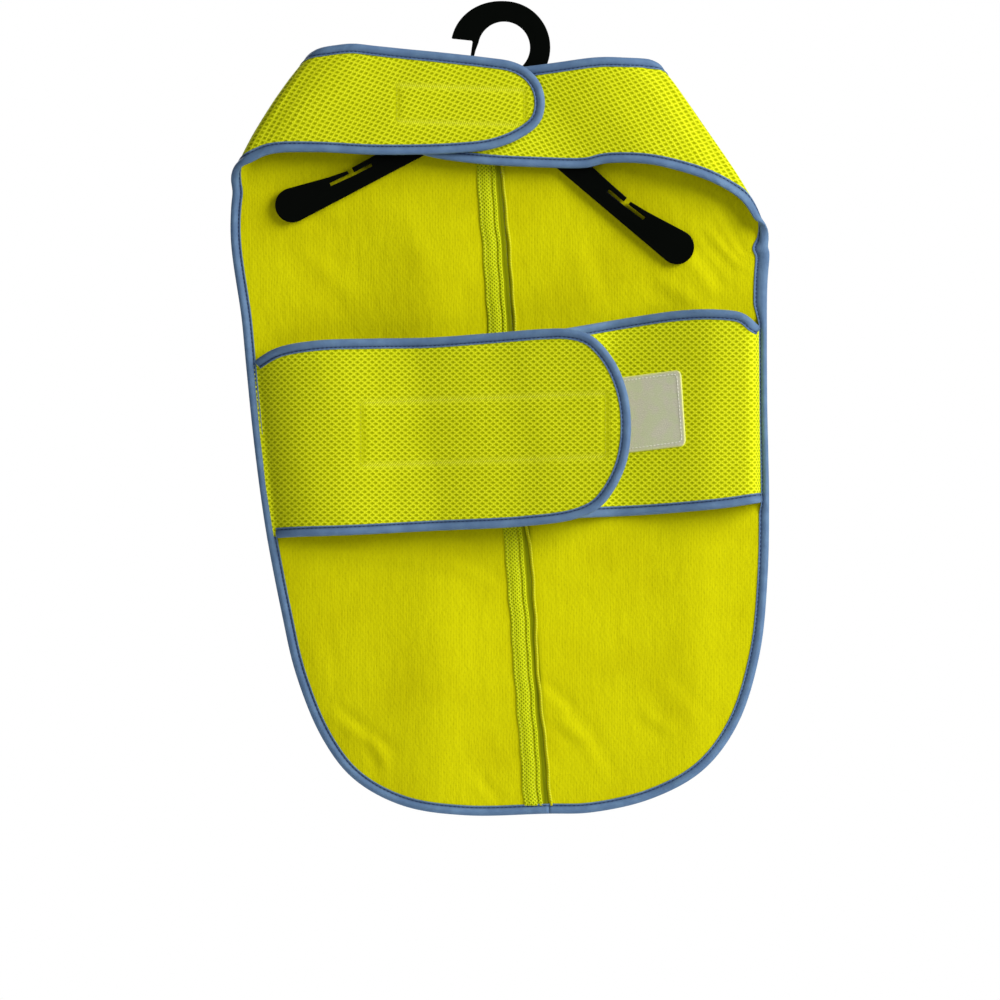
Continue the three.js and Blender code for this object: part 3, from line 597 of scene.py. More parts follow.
def grid_quads(rows, columns, offset=0, flip=False):
    """Quads between neighbouring rows and columns of a grid, as indices."""
    a = (np.arange(rows - 1)[:, None] * columns + np.arange(columns - 1)[None]).ravel() + offset
    quads = np.stack([a, a + 1, a + 1 + columns, a + columns], axis=1)
    return quads[:, ::-1] if flip else quads


def rim_of(rows, columns):
    """Indices once round a grid's rim."""
    top, bottom = np.arange(columns - 1), (rows - 1) * columns + np.arange(columns - 1, 0, -1)
    right, left = np.arange(rows - 1) * columns + columns - 1, np.arange(rows - 1, 0, -1) * columns
    return np.concatenate([top, right, bottom, left])


def shell(name, grid, place, uv, attributes=None):
    """A cloth with a coarse face, material 0, a smooth face, material 1, and a rim round both."""
    rows, columns = grid.shape[:2]
    count = rows * columns
    coarse = place(grid, np.full((rows, columns), HALF_CLOTH))
    fine = place(grid, np.full((rows, columns), -HALF_CLOTH))
    points = np.concatenate([coarse.reshape(-1, 3), fine.reshape(-1, 3)])
    across, along = coarse[0, 1] - coarse[0, 0], coarse[1, 0] - coarse[0, 0]
    flip = np.dot(np.cross(across, along), coarse[0, 0] - fine[0, 0]) < 0
    rim = rim_of(rows, columns)
    following = np.roll(rim, -1)
    wall = np.stack([following, rim, rim + count, following + count], axis=1)
    faces = np.concatenate([
        grid_quads(rows, columns, 0, flip),
        grid_quads(rows, columns, count, not flip),
        wall[:, ::-1] if flip else wall,
    ])
    cells = (rows - 1) * (columns - 1)
    kinds = np.concatenate([np.zeros(cells), np.ones(cells), np.zeros(len(rim))])
    doubled = {key: np.concatenate([value.ravel()] * 2) for key, value in (attributes or {}).items()}
    flat = np.concatenate([uv.reshape(-1, 2)] * 2)
    return new_object(name, points, faces, flat, kinds, doubled)


def outward_faces(piece):
    """Turns a closed mesh's faces outwards where its signed volume is negative."""
    mesh = piece.data
    mesh.calc_loop_triangles()
    corners = np.empty(len(mesh.loop_triangles) * 3, dtype=np.int32)
    mesh.loop_triangles.foreach_get("vertices", corners)
    points = np.empty(len(mesh.vertices) * 3, dtype=np.float32)
    mesh.vertices.foreach_get("co", points)
    a, b, c = (points.reshape(-1, 3)[corners.reshape(-1, 3)[:, k]].astype(float) for k in range(3))
    if np.einsum("ij,ij->i", a, np.cross(b, c)).sum() < 0:
        mesh.flip_normals()
    return piece


# %% Paths


def evenly(path, spacing, softness):
    """The path's points at equal spacing, with its small corners rounded by averaging with neighbours."""
    length = np.linalg.norm(np.diff(path, axis=0), axis=1).sum()
    points = polyline(path)(np.linspace(0, 1, int(length / spacing) + 1))
    for _ in range(softness):
        points[1:-1] = (points[:-2] + 2 * points[1:-1] + points[2:]) / 4
    return points


def outward_of(path, cloth_side):
    """Unit vectors in the flat, pointing away from the cloth. cloth_side is 1 with the cloth on the left."""
    along = np.gradient(path, axis=0)
    along /= np.linalg.norm(along, axis=1)[:, None]
    return np.stack([along[:, 1], -along[:, 0]], axis=1) * cloth_side


def distances(path):
    """Length travelled at each point of a path."""
    return np.concatenate([[0], np.cumsum(np.linalg.norm(np.diff(path, axis=0), axis=1))])


# %% [markdown]
# ## Binding tape
# The binding is a knitted tape folded over the cloth's edge and sewn down near its own edges. Its section
# is a soft U: a plump roll round the edge, a groove where the needle went, and a thin lip. The section is
# carried along the edge of the flat cut, and the cloth's own function puts it in space. A curve with a bevel
# would give a round cord, which has no groove and can't follow both faces of the cloth.

# %% Binding section
# From the lip on one face to the middle of the roll: distance inside the cloth's edge, height over the face.
SECTION = np.array([
    [6.30, 0.08], [6.28, 0.40], [6.05, 0.62], [5.65, 0.62], [5.25, 0.34], [4.90, 0.16],
    [4.55, 0.24], [4.10, 0.55], [3.45, 0.88], [2.60, 1.18], [1.70, 1.38], [0.80, 1.28], [0.00, 0.86],
])
# How dark the painted shade in the groove is at each row of the section.
GROOVE_SHADE = np.array([0.3, 0.1, 0.0, 0.1, 0.6, 1.0, 0.9, 0.35, 0.08, 0.0, 0.0, 0.0, 0.0])
STITCH_IN = 4.9
WOBBLE = 0.12
# The roll reaches from just inside the cloth's edge to its outermost line, in this many steps.
ROLL_IN, ROLL_OUT, ROLL_STEPS = -0.10, 1.05, 8
# Inside the fold, the tape's inner surface lies this far off the cloth, between these two distances.
LIFT = 0.02
INSIDE = np.array([-6.0, -0.1])
# The groove's shadow once round the section: one flange, the roll, the other flange, the inside.
GROOVE_SHADE_ROUND = np.concatenate([GROOVE_SHADE, np.zeros(ROLL_STEPS - 1), GROOVE_SHADE[::-1], np.zeros(2 * len(INSIDE))])


def tape_sections(path, place, cloth_side, coarse, smooth, reach):
    """Grid of points, a closed U section at each point of the path.

    coarse and smooth are the levels on which the two flanges lie. The roll is a half ellipse between them.
    The tape is a little plumper and thinner along its way, and reach stretches the smooth face's flange.
    """
    out = outward_of(path, cloth_side)
    travelled = distances(path)
    puff = 1 + WOBBLE * np.sin(travelled / 7.3) * np.sin(travelled / 23.7 + 1)
    coarse, smooth, puff = coarse[:, None], smooth[:, None], puff[:, None]
    inside, height = SECTION.T[:, None]
    face = coarse + height * puff
    back = -(smooth + height * puff)
    top, foot = face[:, -1:], back[:, -1:]
    angle = np.linspace(np.pi / 2, -np.pi / 2, ROLL_STEPS + 1)[None, 1:-1]
    roll = (top + foot) / 2 + (top - foot) / 2 * np.sin(angle)
    roll_out = ROLL_IN + (ROLL_OUT - ROLL_IN) * np.cos(angle) + 0 * top
    reach = np.broadcast_to(reach, len(path))[:, None]
    under_face = INSIDE[::-1] + 0 * coarse
    offsets = [-inside + 0 * face, roll_out, -inside[:, ::-1] * reach, INSIDE * reach, under_face]
    levels = [face, roll, back[:, ::-1], -smooth - LIFT + 0 * under_face, coarse + LIFT + 0 * under_face]
    offset, level = np.concatenate(offsets, axis=1), np.concatenate(levels, axis=1)
    return place(path[:, None] + out[:, None] * offset[..., None], level)


def tube(name, sections, uv_along, attributes=None):
    """Closed rings joined along a path, with a flat cap on each end.

    UV runs along the path and round the ring. attributes gives values for one ring, which every ring takes.
    """
    rings, size = sections.shape[:2]
    index = np.arange(rings * size).reshape(rings, size)
    following = np.roll(index, -1, axis=1)
    quads = np.stack([index[:-1], following[:-1], following[1:], index[1:]], axis=-1).reshape(-1, 4)
    faces = [*quads, index[0, ::-1], index[-1]]
    round_length = np.linalg.norm(sections[0] - np.roll(sections[0], 1, axis=0), axis=1).cumsum()
    uv = np.stack(np.broadcast_arrays(uv_along[:, None], round_length[None]), axis=-1).reshape(-1, 2)
    points = sections.reshape(-1, 3)
    spread = {key: np.broadcast_to(value, (rings, size)) for key, value in (attributes or {}).items()}
    return outward_faces(new_object(name, points, faces, uv, attributes=spread))


# %% [markdown]
# ## Stitches
# Each stitch is a short capsule of thread, a few dozen faces, sunk into the groove. One capsule is worked
# out, and all of a row's stitches are made from it in one array, turned to the path and joined in one mesh.
# Geometry nodes could scatter them too, but an array keeps every stitch on the cloth's own function.

# %% Stitches
THREAD = 0.34


def capsule(sides=6, rings=5):
    """Unit capsule along x, as points, quads and end triangles.

    Its radius at x is the root of one less the cube of x, so its ends are blunter than a ball's.
    """
    x = np.linspace(-1, 1, rings + 2)[1:-1]
    angle = np.arange(sides) * 2 * np.pi / sides
    radius = np.sqrt(1 - np.abs(x) ** 3)[:, None]
    ring = np.stack([x[:, None] + 0 * angle, radius * np.cos(angle), radius * np.sin(angle)], axis=-1)
    points = np.vstack([ring.reshape(-1, 3), [[-1, 0, 0]], [[1, 0, 0]]])
    index = np.arange(rings * sides).reshape(rings, sides)
    after = np.roll(index, -1, axis=1)
    quads = np.stack([index[:-1], after[:-1], after[1:], index[1:]], axis=-1).reshape(-1, 4)
    start, end = (np.full(sides, len(points) - k) for k in (2, 1))
    first_cap = np.stack([after[0], index[0], start], axis=1)
    last_cap = np.stack([index[-1], after[-1], end], axis=1)
    return points, quads, np.vstack([first_cap, last_cap])


def stitches(name, ends_a, ends_b, up, thread=THREAD):
    """One capsule from each point of ends_a to the one of ends_b, as a single mesh.

    thread is half the thread's thickness, and up points away from the cloth.
    """
    points, quads, caps = capsule()
    middle, half = (ends_a + ends_b) / 2, (ends_b - ends_a) / 2
    side = np.cross(up, half)
    side *= thread / np.linalg.norm(side, axis=1)[:, None]
    rise = np.cross(half, side)
    rise *= thread / np.linalg.norm(rise, axis=1)[:, None]
    axes = np.stack([half, side, rise], axis=1)
    all_points = middle[:, None] + np.einsum("pk,nkc->npc", points, axes)
    shift = (np.arange(len(middle)) * len(points))[:, None, None]
    faces = [*(quads[None] + shift).reshape(-1, 4), *(caps[None] + shift).reshape(-1, 3)]
    return outward_faces(new_object(name, all_points.reshape(-1, 3), faces))


def stitch_ends(path, place, level, pitch=3.1, thread_share=0.72):
    """Start, end and up of each stitch of a row along a flat path, on the cloth at a level."""
    travelled = distances(path)
    whole = travelled[-1]
    curve = polyline(path)

    def at(distance, higher=0.0):
        height = np.interp(distance, travelled, np.broadcast_to(level, travelled.shape))
        return place(curve(distance / whole), height + higher)

    start = np.arange(int(whole / pitch)) * pitch + 0.5
    end = start + pitch * thread_share
    middle = (start + end) / 2
    return at(start), at(end), at(middle, 0.5) - at(middle, -0.5)


# %% [markdown]
# ## Finishes as expressions
# A shader is a formula over the surface. `Wire` wraps a socket so that the formula can be written as plain
# Python sums and products, and `Finish` makes the few nodes that are not sums. Patterns read the flat cut's
# UV map, so the net's holes keep their size on a fold, and they feed only colour, roughness and bump.

# %% Wires


class Wire:
    """A shader socket that takes part in Python expressions. Each operator adds one Math node."""

    def __init__(self, tree, socket):
        self.tree, self.socket = tree, socket

    def math(self, operation, *others, swap=False):
        node = self.tree.nodes.new("ShaderNodeMath")
        node.operation = operation
        values = [self, *others]
        for place, value in zip(node.inputs, values[::-1] if swap else values):
            plug(self.tree, place, value)
        return Wire(self.tree, node.outputs[0])

    def __add__(self, other):
        return self.math("ADD", other)

    __radd__ = __add__

    def __sub__(self, other):
        return self.math("SUBTRACT", other)

    def __rsub__(self, other):
        return self.math("SUBTRACT", other, swap=True)

    def __mul__(self, other):
        return self.math("MULTIPLY", other)

    def __truediv__(self, other):
        return self.math("DIVIDE", other)

    def __pow__(self, other):
        return self.math("POWER", other)

    def floor(self):
        return self.math("FLOOR")

    def fraction(self):
        return self.math("FRACT")

    def modulo(self, other):
        return self.math("FLOORED_MODULO", other)

    def sine(self):
        return self.math("SINE")

    def cosine(self):
        return self.math("COSINE")

    def size(self):
        return self.math("ABSOLUTE")

    def root(self):
        return self.math("SQRT")

    def lowest(self, other):
        return self.math("MINIMUM", other)

    def highest(self, other):
        return self.math("MAXIMUM", other)

    def step(self, start, end):
        """0 at start, 1 at end, smooth between, for start below or above end."""
        node = self.tree.nodes.new("ShaderNodeMapRange")
        node.interpolation_type = "SMOOTHSTEP"
        low, high = sorted((start, end))
        plug(self.tree, node.inputs["Value"], self)
        node.inputs["From Min"].default_value, node.inputs["From Max"].default_value = low, high
        result = Wire(self.tree, node.outputs[0])
        return result if start < end else 1 - result


def plug(tree, place, value):
    """Links a wire to an input, or sets the input to a constant."""
    if isinstance(value, Wire):
        tree.links.new(value.socket, place)
    elif hasattr(value, "__len__") and len(value) == 3 and place.type == "RGBA":
        place.default_value = (*value, 1)
    else:
        place.default_value = value


# %% Finish builder


class Finish:
    """A material with a Principled shader, whose changing inputs are given as wires."""

    def __init__(self, name, **constants):
        self.material = bpy.data.materials.new(name)
        self.material.use_nodes = True
        self.tree = self.material.node_tree
        self.shader = self.tree.nodes["Principled BSDF"]
        for key, value in constants.items():
            plug(self.tree, self.shader.inputs[key.replace("_", " ")], value)

    def node(self, kind, settings=None, inputs=None, output=0):
        """Any node: its type, its settings, its inputs by name or number, and which output to return."""
        node = self.tree.nodes.new(kind)
        for key, value in (settings or {}).items():
            setattr(node, key, value)
        for key, value in (inputs or {}).items():
            plug(self.tree, node.inputs[key], value)
        return Wire(self.tree, node.outputs[output])

    def cut(self):
        """The two coordinates of the flat cut, in millimetres."""
        uv = self.node("ShaderNodeUVMap", {"uv_map": "cut"})
        split = self.tree.nodes.new("ShaderNodeSeparateXYZ")
        plug(self.tree, split.inputs[0], uv)
        return [Wire(self.tree, split.outputs[k]) / MM for k in (0, 1)]

    def place(self):
        return self.node("ShaderNodeTexCoord", output="Object")

    def attribute(self, name):
        return self.node("ShaderNodeAttribute", {"attribute_name": name}, output="Fac")

    def noise(self, where, scale, detail=3.0, roughness=0.55):
        inputs = {"Vector": where, "Scale": scale, "Detail": detail, "Roughness": roughness}
        return self.node("ShaderNodeTexNoise", {}, inputs, "Fac")

    def vector(self, x, y, z=0.0):
        return self.node("ShaderNodeCombineXYZ", {}, {0: x, 1: y, 2: z})

    def mix(self, share, a, b):
        """Colour a where share is 0, colour b where it is 1."""
        return self.node("ShaderNodeMix", {"data_type": "RGBA"}, {0: share, 6: a, 7: b}, 2)

    def bump(self, height, distance_mm, strength=1.0, under=None):
        inputs = {"Height": height, "Distance": distance_mm * MM, "Strength": strength}
        if under is not None:
            inputs["Normal"] = under
        return self.node("ShaderNodeBump", {}, inputs)

    def surface(self, **wires):
        for key, value in wires.items():
            plug(self.tree, self.shader.inputs[key.replace("_", " ")], value)
        return self.material


def linear(red, green, blue):
    """A screen colour from 0 to 255 as the linear values that a shader takes."""
    c = np.array([red, green, blue]) / 255
    return tuple(float(v) for v in np.where(c > 0.04045, ((c + 0.055) / 1.055) ** 2.4, c / 12.92))


# %% [markdown]
# ### The open net
# Spacer mesh shows rows of small lens-shaped holes, each row half a step along from the last. Bright threads
# run between them and darker pile shows through. A Voronoi or brick texture gives cells, but not this even
# knit, so the lattice is written out: count the rows, shift every second one by half a step, and measure how
# far a point lies from the nearest chain of loops.

# %% Net
FAINT_SHEEN = {"Sheen_Weight": 0.02, "Sheen_Roughness": 0.5}
NET_STEP = 5.3  # from hole to hole in a row
NET_ROW = 2.11  # from row to row
SWAY = 0.68  # how far a chain of loops sways to each side
CHAIN = 0.84  # half its width
TICK = 1.15  # from loop to loop along it
LIME = {
    "light": linear(242, 248, 60),
    "mid": linear(222, 228, 8),
    "deep": linear(190, 197, 0),
    "hole": linear(150, 160, 0),
}
PRESSED = {
    "light": linear(230, 238, 56),
    "mid": linear(208, 216, 8),
    "deep": linear(178, 188, 0),
    "hole": linear(128, 142, 0),
}


def make_net(name, step, row_height, tones):
    """Finish of the coarse face: swaying chains of loops with dark lens-shaped holes between them.

    step and row_height are the lattice's pitches. tones are its four colours.
    A chain's middle sways by a cosine along its row, two neighbours always against each other. How far a
    point lies from the nearest middle, as if the row were full size, says whether it is on a chain or in a
    hole. The "pinch" attribute marks rows of sewing, where a slanting thread covers the net. A second
    attribute marks the lines where it is only pressed flat: its holes close there, and its deeper tone is
    painted shade in the sunken line.
    """
    net = Finish(name, Roughness=0.85, Specular_IOR_Level=0.05, **FAINT_SHEEN)
    u, v = net.cut()
    where = net.vector(u, v)
    u = u + (net.noise(where, 0.055, 2.0) - 0.5) * 2.2
    v = v + (net.noise(net.vector(v, u), 0.06, 2.0) - 0.5) * 1.2
    row = v / row_height
    shift = row.floor().modulo(2.0) * 0.5
    between = row.fraction()
    sway = ((u / step - shift) * (2 * np.pi)).cosine() * SWAY
    away = ((0.5 - (between - 0.5).size()) * NET_ROW + sway).size()
    blotch = net.noise(where, 0.035, 3.0)
    uneven = net.noise(where, 0.5, 2.0)
    pinch, press_and_shade = net.attribute("pinch"), net.attribute("press_and_shade")
    hole = (away + (uneven - 0.5) * 0.5).step(CHAIN + 0.02, CHAIN + 0.52)
    hole = hole * (1 - pinch.highest(press_and_shade) * 0.9)
    round_chain = 1 - (away / CHAIN).lowest(1.0) ** 2
    tick = ((u / TICK + away * 0.8) * (2 * np.pi)).sine() * 0.5 + 0.5
    slant = ((u * 1.5 + v.size() * 1.3) * 2.4).sine() * 0.5 + 0.5
    fibre = net.noise(net.vector(u * 1.6, v * 4.0), 1.0, 2.0)
    lively = (round_chain * 0.55 + tick * 0.45) * (0.72 + fibre * 0.5)
    thread = net.mix(lively.step(0.25, 0.85), tones["deep"], tones["mid"])
    thread = net.mix(lively.step(0.66, 0.98) * 0.85, thread, tones["light"])
    closed = net.mix(slant.step(0.3, 0.85), tones["deep"], tones["light"])
    # Pressed lines close their holes; their deep tone is painted shade in the sunken line.
    thread = net.mix(press_and_shade * 0.75, net.mix(pinch * 0.9, thread, closed), tones["deep"])
    thread = net.mix(blotch.step(0.42, 0.75) * 0.2, thread, tones["deep"])
    pile = net.mix(fibre.step(0.3, 0.8) * 0.5, tones["hole"], tones["deep"])
    colour = net.mix(hole, thread, pile)
    height = round_chain * 0.5 + tick * 0.18 - hole * 0.8 + pinch * slant * 0.3
    normal = net.bump(height, 0.6, 0.5, net.bump(fibre, 0.15, 0.4))
    return net.surface(Base_Color=colour, Normal=normal, Roughness=0.74 + hole * 0.16 + blotch * 0.1)


# %% [markdown]
# ### The close knit
# The face on the dog's side is a fine knit of small V-shaped loops in upright wales. From a step away it
# reads as faint upright ribs with a quiet grain, and slow changes of tone where the pile below stands less
# firm.

# %% Knit
WALE = 1.15  # from rib to rib
COURSE = 0.85  # from loop to loop along a rib
KNIT_TONES = {
    "light": linear(218, 215, 6),
    "mid": linear(206, 203, 0),
    "warm": linear(194, 187, 0),
    "deep": linear(160, 158, 0),
    # The darkest tone is painted shade for the gap at the centre seam.
    "seam_shade": linear(104, 116, 2),
}


def make_knit():
    """Finish of the smooth face: wales of V loops, a faint net showing through, and slow blotches.

    A vertex attribute darkens the line where the two halves meet: painted shade in the gap between them.
    """
    knit = Finish("close_knit", Roughness=0.9, Specular_IOR_Level=0.04, **FAINT_SHEEN)
    u, v = knit.cut()
    where = knit.vector(u, v)
    sway = (knit.noise(where, 0.03, 2.0) - 0.5) * 4.0
    wale = ((v + sway) / WALE).fraction() - 0.5
    loop = (u / COURSE + wale.size() * 1.2).fraction() - 0.5
    rib = 1 - (wale * 2).size() ** 2
    stitch = 1 - (loop * 2).size() ** 2
    row = (v + sway) / NET_ROW
    step = (u + sway) / NET_STEP + row.floor().modulo(2.0) * 0.5
    up_down, across = (row.fraction() - 0.5) * 2.2, (step.fraction() - 0.5) * 3.0
    dimple = (up_down**2 + across**2).root().step(1.05, 0.2)
    grain = knit.noise(where, 0.62, 4.0, 0.75)
    streak = knit.noise(knit.vector(u * 0.14, v * 0.42), 1.0, 3.0)
    ripple = knit.noise(knit.vector(u * 0.05, v * 0.12), 1.0, 3.0)
    blotch = knit.noise(where, 0.018, 4.0)
    fine = grain * 0.75 + streak * 0.25
    tone = knit.mix(fine.step(0.36, 0.66), KNIT_TONES["mid"], KNIT_TONES["light"])
    tone = knit.mix(blotch.step(0.4, 0.72) * 0.5, tone, KNIT_TONES["warm"])
    shade = (1 - rib) * 0.1 + dimple * grain * 0.24 + grain.step(0.48, 0.74) * 0.5
    tone = knit.mix(shade, tone, KNIT_TONES["deep"])
    # Painted shade along the centre seam's gap.
    tone = knit.mix(knit.attribute("seam_shade") * 0.95, tone, KNIT_TONES["seam_shade"])
    height = rib * 0.4 + stitch * 0.25 + grain * 0.7 - dimple * 0.3
    normal = knit.bump(height, 0.35, 0.5, knit.bump(ripple, 2.2, 0.3, knit.bump(streak, 0.7, 0.15)))
    return knit.surface(Base_Color=tone, Normal=normal, Roughness=0.8 + grain * 0.14)


# %% [markdown]
# ### Tape, thread, pile and plastic
# The binding is a smooth knitted tape: fine ribs across it and a slight shine on the roll. Thread has a
# fibrous tone. Loop tape is a brushed pile with stray bright fibres. The hanger is black plastic with the
# fine skin that a mould leaves and a few scuffs.

# %% Small finishes


def make_tape(rib_pitch=0.62, wale_pitch=0.75):
    """Binding tape. An attribute darkens it with painted shade in the groove where the needle went."""
    sheen = {"Sheen_Weight": 0.05, "Sheen_Roughness": 0.4}
    tape = Finish("binding_tape", Roughness=0.65, Specular_IOR_Level=0.2, **sheen)
    u, v = tape.cut()
    where = tape.vector(u, v)
    rib = (u * (2 * np.pi / rib_pitch)).sine() * 0.5 + 0.5
    wale = (v * (2 * np.pi / wale_pitch)).sine() * 0.5 + 0.5
    cloud = tape.noise(where, 0.09, 3.0)
    grain = tape.noise(where, 1.4, 3.0, 0.7)
    tone = tape.mix(cloud.step(0.35, 0.7), linear(92, 121, 156), linear(106, 137, 170))
    tone = tape.mix(rib * wale * 0.3 + grain * 0.25, tone, linear(74, 102, 140))
    # Painted shade in the needle's groove, from the tape's attribute.
    tone = tape.mix(tape.attribute("groove_shade") * 0.65, tone, linear(34, 54, 92))
    normal = tape.bump(rib * 0.4 + wale * 0.4 + grain * 0.4, 0.22, 0.5, tape.bump(cloud, 1.2, 0.25))
    return tape.surface(Base_Color=tone, Normal=normal, Roughness=0.54 + grain * 0.2)


def make_thread(name, light, dark):
    thread = Finish(name, Roughness=0.6, Sheen_Weight=0.03, Specular_IOR_Level=0.15)
    where = thread.place()
    fibre = thread.noise(where, 2600.0, 2.0)
    tone = thread.mix(fibre.step(0.3, 0.7), dark, light)
    return thread.surface(Base_Color=tone, Normal=thread.bump(fibre, 0.08, 0.5))


def make_pile(name, light, dark):
    """Brushed loop pile: fine curls, stray bright fibres, a brushed direction, and lime lint at the rim."""
    pile = Finish(name, Roughness=0.9, Specular_IOR_Level=0.12, Sheen_Weight=0.12, Sheen_Roughness=0.5)
    u, v = pile.cut()
    where = pile.vector(u, v)
    curls = pile.noise(where, 1.6, 4.0, 0.75)
    brushed = pile.noise(pile.vector(u * 0.25, v * 1.4), 1.0, 3.0)
    stray = pile.noise(where, 4.2, 1.0).step(0.66, 0.74)
    cloud = pile.noise(where, 0.08, 2.0)
    tone = pile.mix(curls.step(0.3, 0.7), dark, light)
    tone = pile.mix(cloud.step(0.38, 0.62) * 0.55, tone, linear(196, 206, 158))
    tone = pile.mix(stray * 0.7, tone, linear(248, 248, 240))
    tone = pile.mix(pile.attribute("rim") * 0.75, tone, linear(226, 228, 112))
    normal = pile.bump(curls * 0.8 + brushed * 0.4, 0.6, 0.7)
    return pile.surface(Base_Color=tone, Normal=normal)


def make_plastic():
    plastic = Finish("moulded_black", Roughness=0.5, Specular_IOR_Level=0.05)
    where = plastic.place()
    skin = plastic.noise(where, 900.0, 3.0)
    smear = plastic.noise(where, 28.0, 3.0)
    scuff = plastic.noise(where, 140.0, 5.0, 0.7).step(0.62, 0.8)
    tone = plastic.mix(scuff * 0.3, linear(1, 3, 1), linear(12, 14, 12))
    return plastic.surface(
        Base_Color=tone,
        Normal=plastic.bump(skin, 0.05, 0.35, plastic.bump(smear, 0.5, 0.2)),
        Roughness=0.3 + smear * 0.22 + scuff * 0.15,
    )


NET = make_net("open_net", NET_STEP, NET_ROW, LIME)
PRESSED_NET = make_net("pressed_net", 2.7, 1.5, PRESSED)
KNIT, TAPE = make_knit(), make_tape()
BLUE_THREAD = make_thread("blue_thread", linear(50, 70, 108), linear(26, 40, 72))
LIME_THREAD = make_thread("lime_thread", linear(240, 243, 70), linear(176, 180, 10))
WHITE_THREAD = make_thread("white_thread", linear(250, 248, 238), linear(206, 206, 190))
LOOP_PILE = make_pile("loop_pile", linear(222, 218, 196), linear(182, 180, 158))
PLASTIC = make_plastic()
print("finishes:", [m.name for m in bpy.data.materials])


def dress(piece, *materials):
    """Gives a piece its materials, in the order of its faces' material numbers."""
    for material in materials:
        piece.data.materials.append(material)
    return piece


def seat(piece, slot, *nodes):
    """Every piece rides on the one body and stands for its CAD solids, which are hidden. slot is not used."""
    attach(piece, "root")
    if nodes:
        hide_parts(*nodes)
    return piece


# %% [markdown]
# ## The halves
# Each half goes from its strap's end, round the shoulder, down to the tail in one grid. Where hook tape is
# sewn behind a strap, the net is pinched along the stitching, so vertex attributes mark those lines for the
# finish, and the cloth sinks a little there.

# %% Closure rectangles
# Tape stitches show on the net this far inside the tape's corners, and on the tape itself this far inside.
NET_INSET, TAPE_INSET = 1.6, 2.9
# Corners of each sewn tape as it lies: top left, bottom left, bottom right, top right.
CLOSURES = {
    "chest_hook": np.array([[-78.5, -45.0], [-78.5, -74.4], [16.0, -77.2], [16.0, -48.8]]),
    "chest_loop": np.array([[-60.0, -53.5], [-60.0, -80.5], [12.0, -80.5], [12.0, -53.5]]),
    "belly_hook": np.array([[-104.4, -273.2], [-104.4, -321.5], [74.2, -315.0], [74.2, -266.8]]),
    "belly_loop": np.array([[8.3, -265.5], [12.0, -320.0], [131.0, -305.6], [127.4, -250.9]]),
}


def near_lines(p, corners, width, first):
    """1 on two opposite sides of the corners' outline, falling to 0 about two widths away.

    first is 0 for the upright sides and 1 for the level ones.
    """
    nearest = np.full(p.shape[:-1], np.inf)
    following = np.roll(corners, -1, axis=0)
    for a, b in zip(corners[first::2], following[first::2]):
        share = np.clip((p - a) @ (b - a) / ((b - a) @ (b - a)), 0, 1)
        nearest = np.minimum(nearest, np.linalg.norm(p - (a + share[..., None] * (b - a)), axis=-1))
    return np.exp(-((nearest / width) ** 2))


def inset(corners, distance):
    """The four corners moved towards the middle, by about a distance along each side."""
    middle = corners.mean(axis=0)
    away = corners - middle
    return middle + away - np.sign(away) * distance


# %% Half cloths


def seam_x(z):
    """The seam line's x at a height."""
    return SEAM_TOP[0] + (SEAM_FOOT[0] - SEAM_TOP[0]) * (z - SEAM_TOP[1]) / (SEAM_FOOT[1] - SEAM_TOP[1])


def flat_size(flat):
    """Width and length of a flat grid's box, in metres."""
    return np.ptp(flat[..., 0]) * MM, np.ptp(flat[..., 1]) * MM


def sewing_marks(seen, node, width):
    """The level and the upright lines of a tape's sewing, as two attributes of a grid seen as it lies."""
    corners = inset(CLOSURES[node], NET_INSET)
    return (near_lines(seen, corners, width, first) for first in (1, 0))


def build_half(side):
    grid, fold = GRIDS[side], HALVES[side]["fold"]
    past = fold.beyond(grid)
    lines, ends = np.zeros((2, *grid.shape[:-1]))
    if side == "left":
        marks = sewing_marks(fold.mirror(grid), "chest_hook", 1.9)
        lines, ends = (mark * (past > fold.turn) for mark in marks)
    # Painted shade along the seam's gap, kept to the back panel.
    seam_shade = bell(grid[..., 0] - seam_x(grid[..., 1]), -1.5, 3.2) * (past < 0)
    pinched = lambda p, level: fold.place(p, level - 0.6 * np.maximum(lines, ends))
    # The pressed lines carry painted shade into the net's finish.
    marks = {"pinch": lines, "press_and_shade": ends, "seam_shade": seam_shade}
    cloth = shell(f"half_{side}_cloth", grid, pinched, grid[..., ::-1], marks)
    seat(dress(cloth, NET, KNIT), "mesh_cloth", f"half_{side}")
    print(cloth.name, "flat", [round(v, 3) for v in flat_size(grid)], "m")
    return cloth


HALF_CLOTHS = {side: build_half(side) for side in HALVES}

# %% [markdown]
# ## The belly straps
# Each strap is sewn in under the side binding and turns forward steeply. A graph gives its height over the
# back panel at each distance from its side. The left one swells into a soft crest, dips and then rises
# evenly to its round end. The right one has a rounded shoulder at its side, falls back behind the left one's
# end, and climbs under it to lie against it.

# %% Belly graphs
# Distance from the side edge, and height of the strap's middle over its place on the back panel.
LEFT_RISE = graph([
    (0, 0), (6.6, 0), (9, 1.6), (14, 4.9), (20, 7.9), (28, 10.9), (38, 13.4), (48, 14.9), (56, 15.5),
    (64, 15.5), (78, 14.8), (96, 13.9), (110, 13.9), (120, 14.4), (130, 15.8), (140, 17.4), (150, 18.8),
    (160, 20.0), (170, 20.9), (180, 22.0), (190, 23.5), (200, 25.3), (210, 26.8), (220, 28.1), (230, 29.4),
    (240, 30.8), (250, 32.3), (262, 33.4), (280, 33.8), (400, 33.8),
])
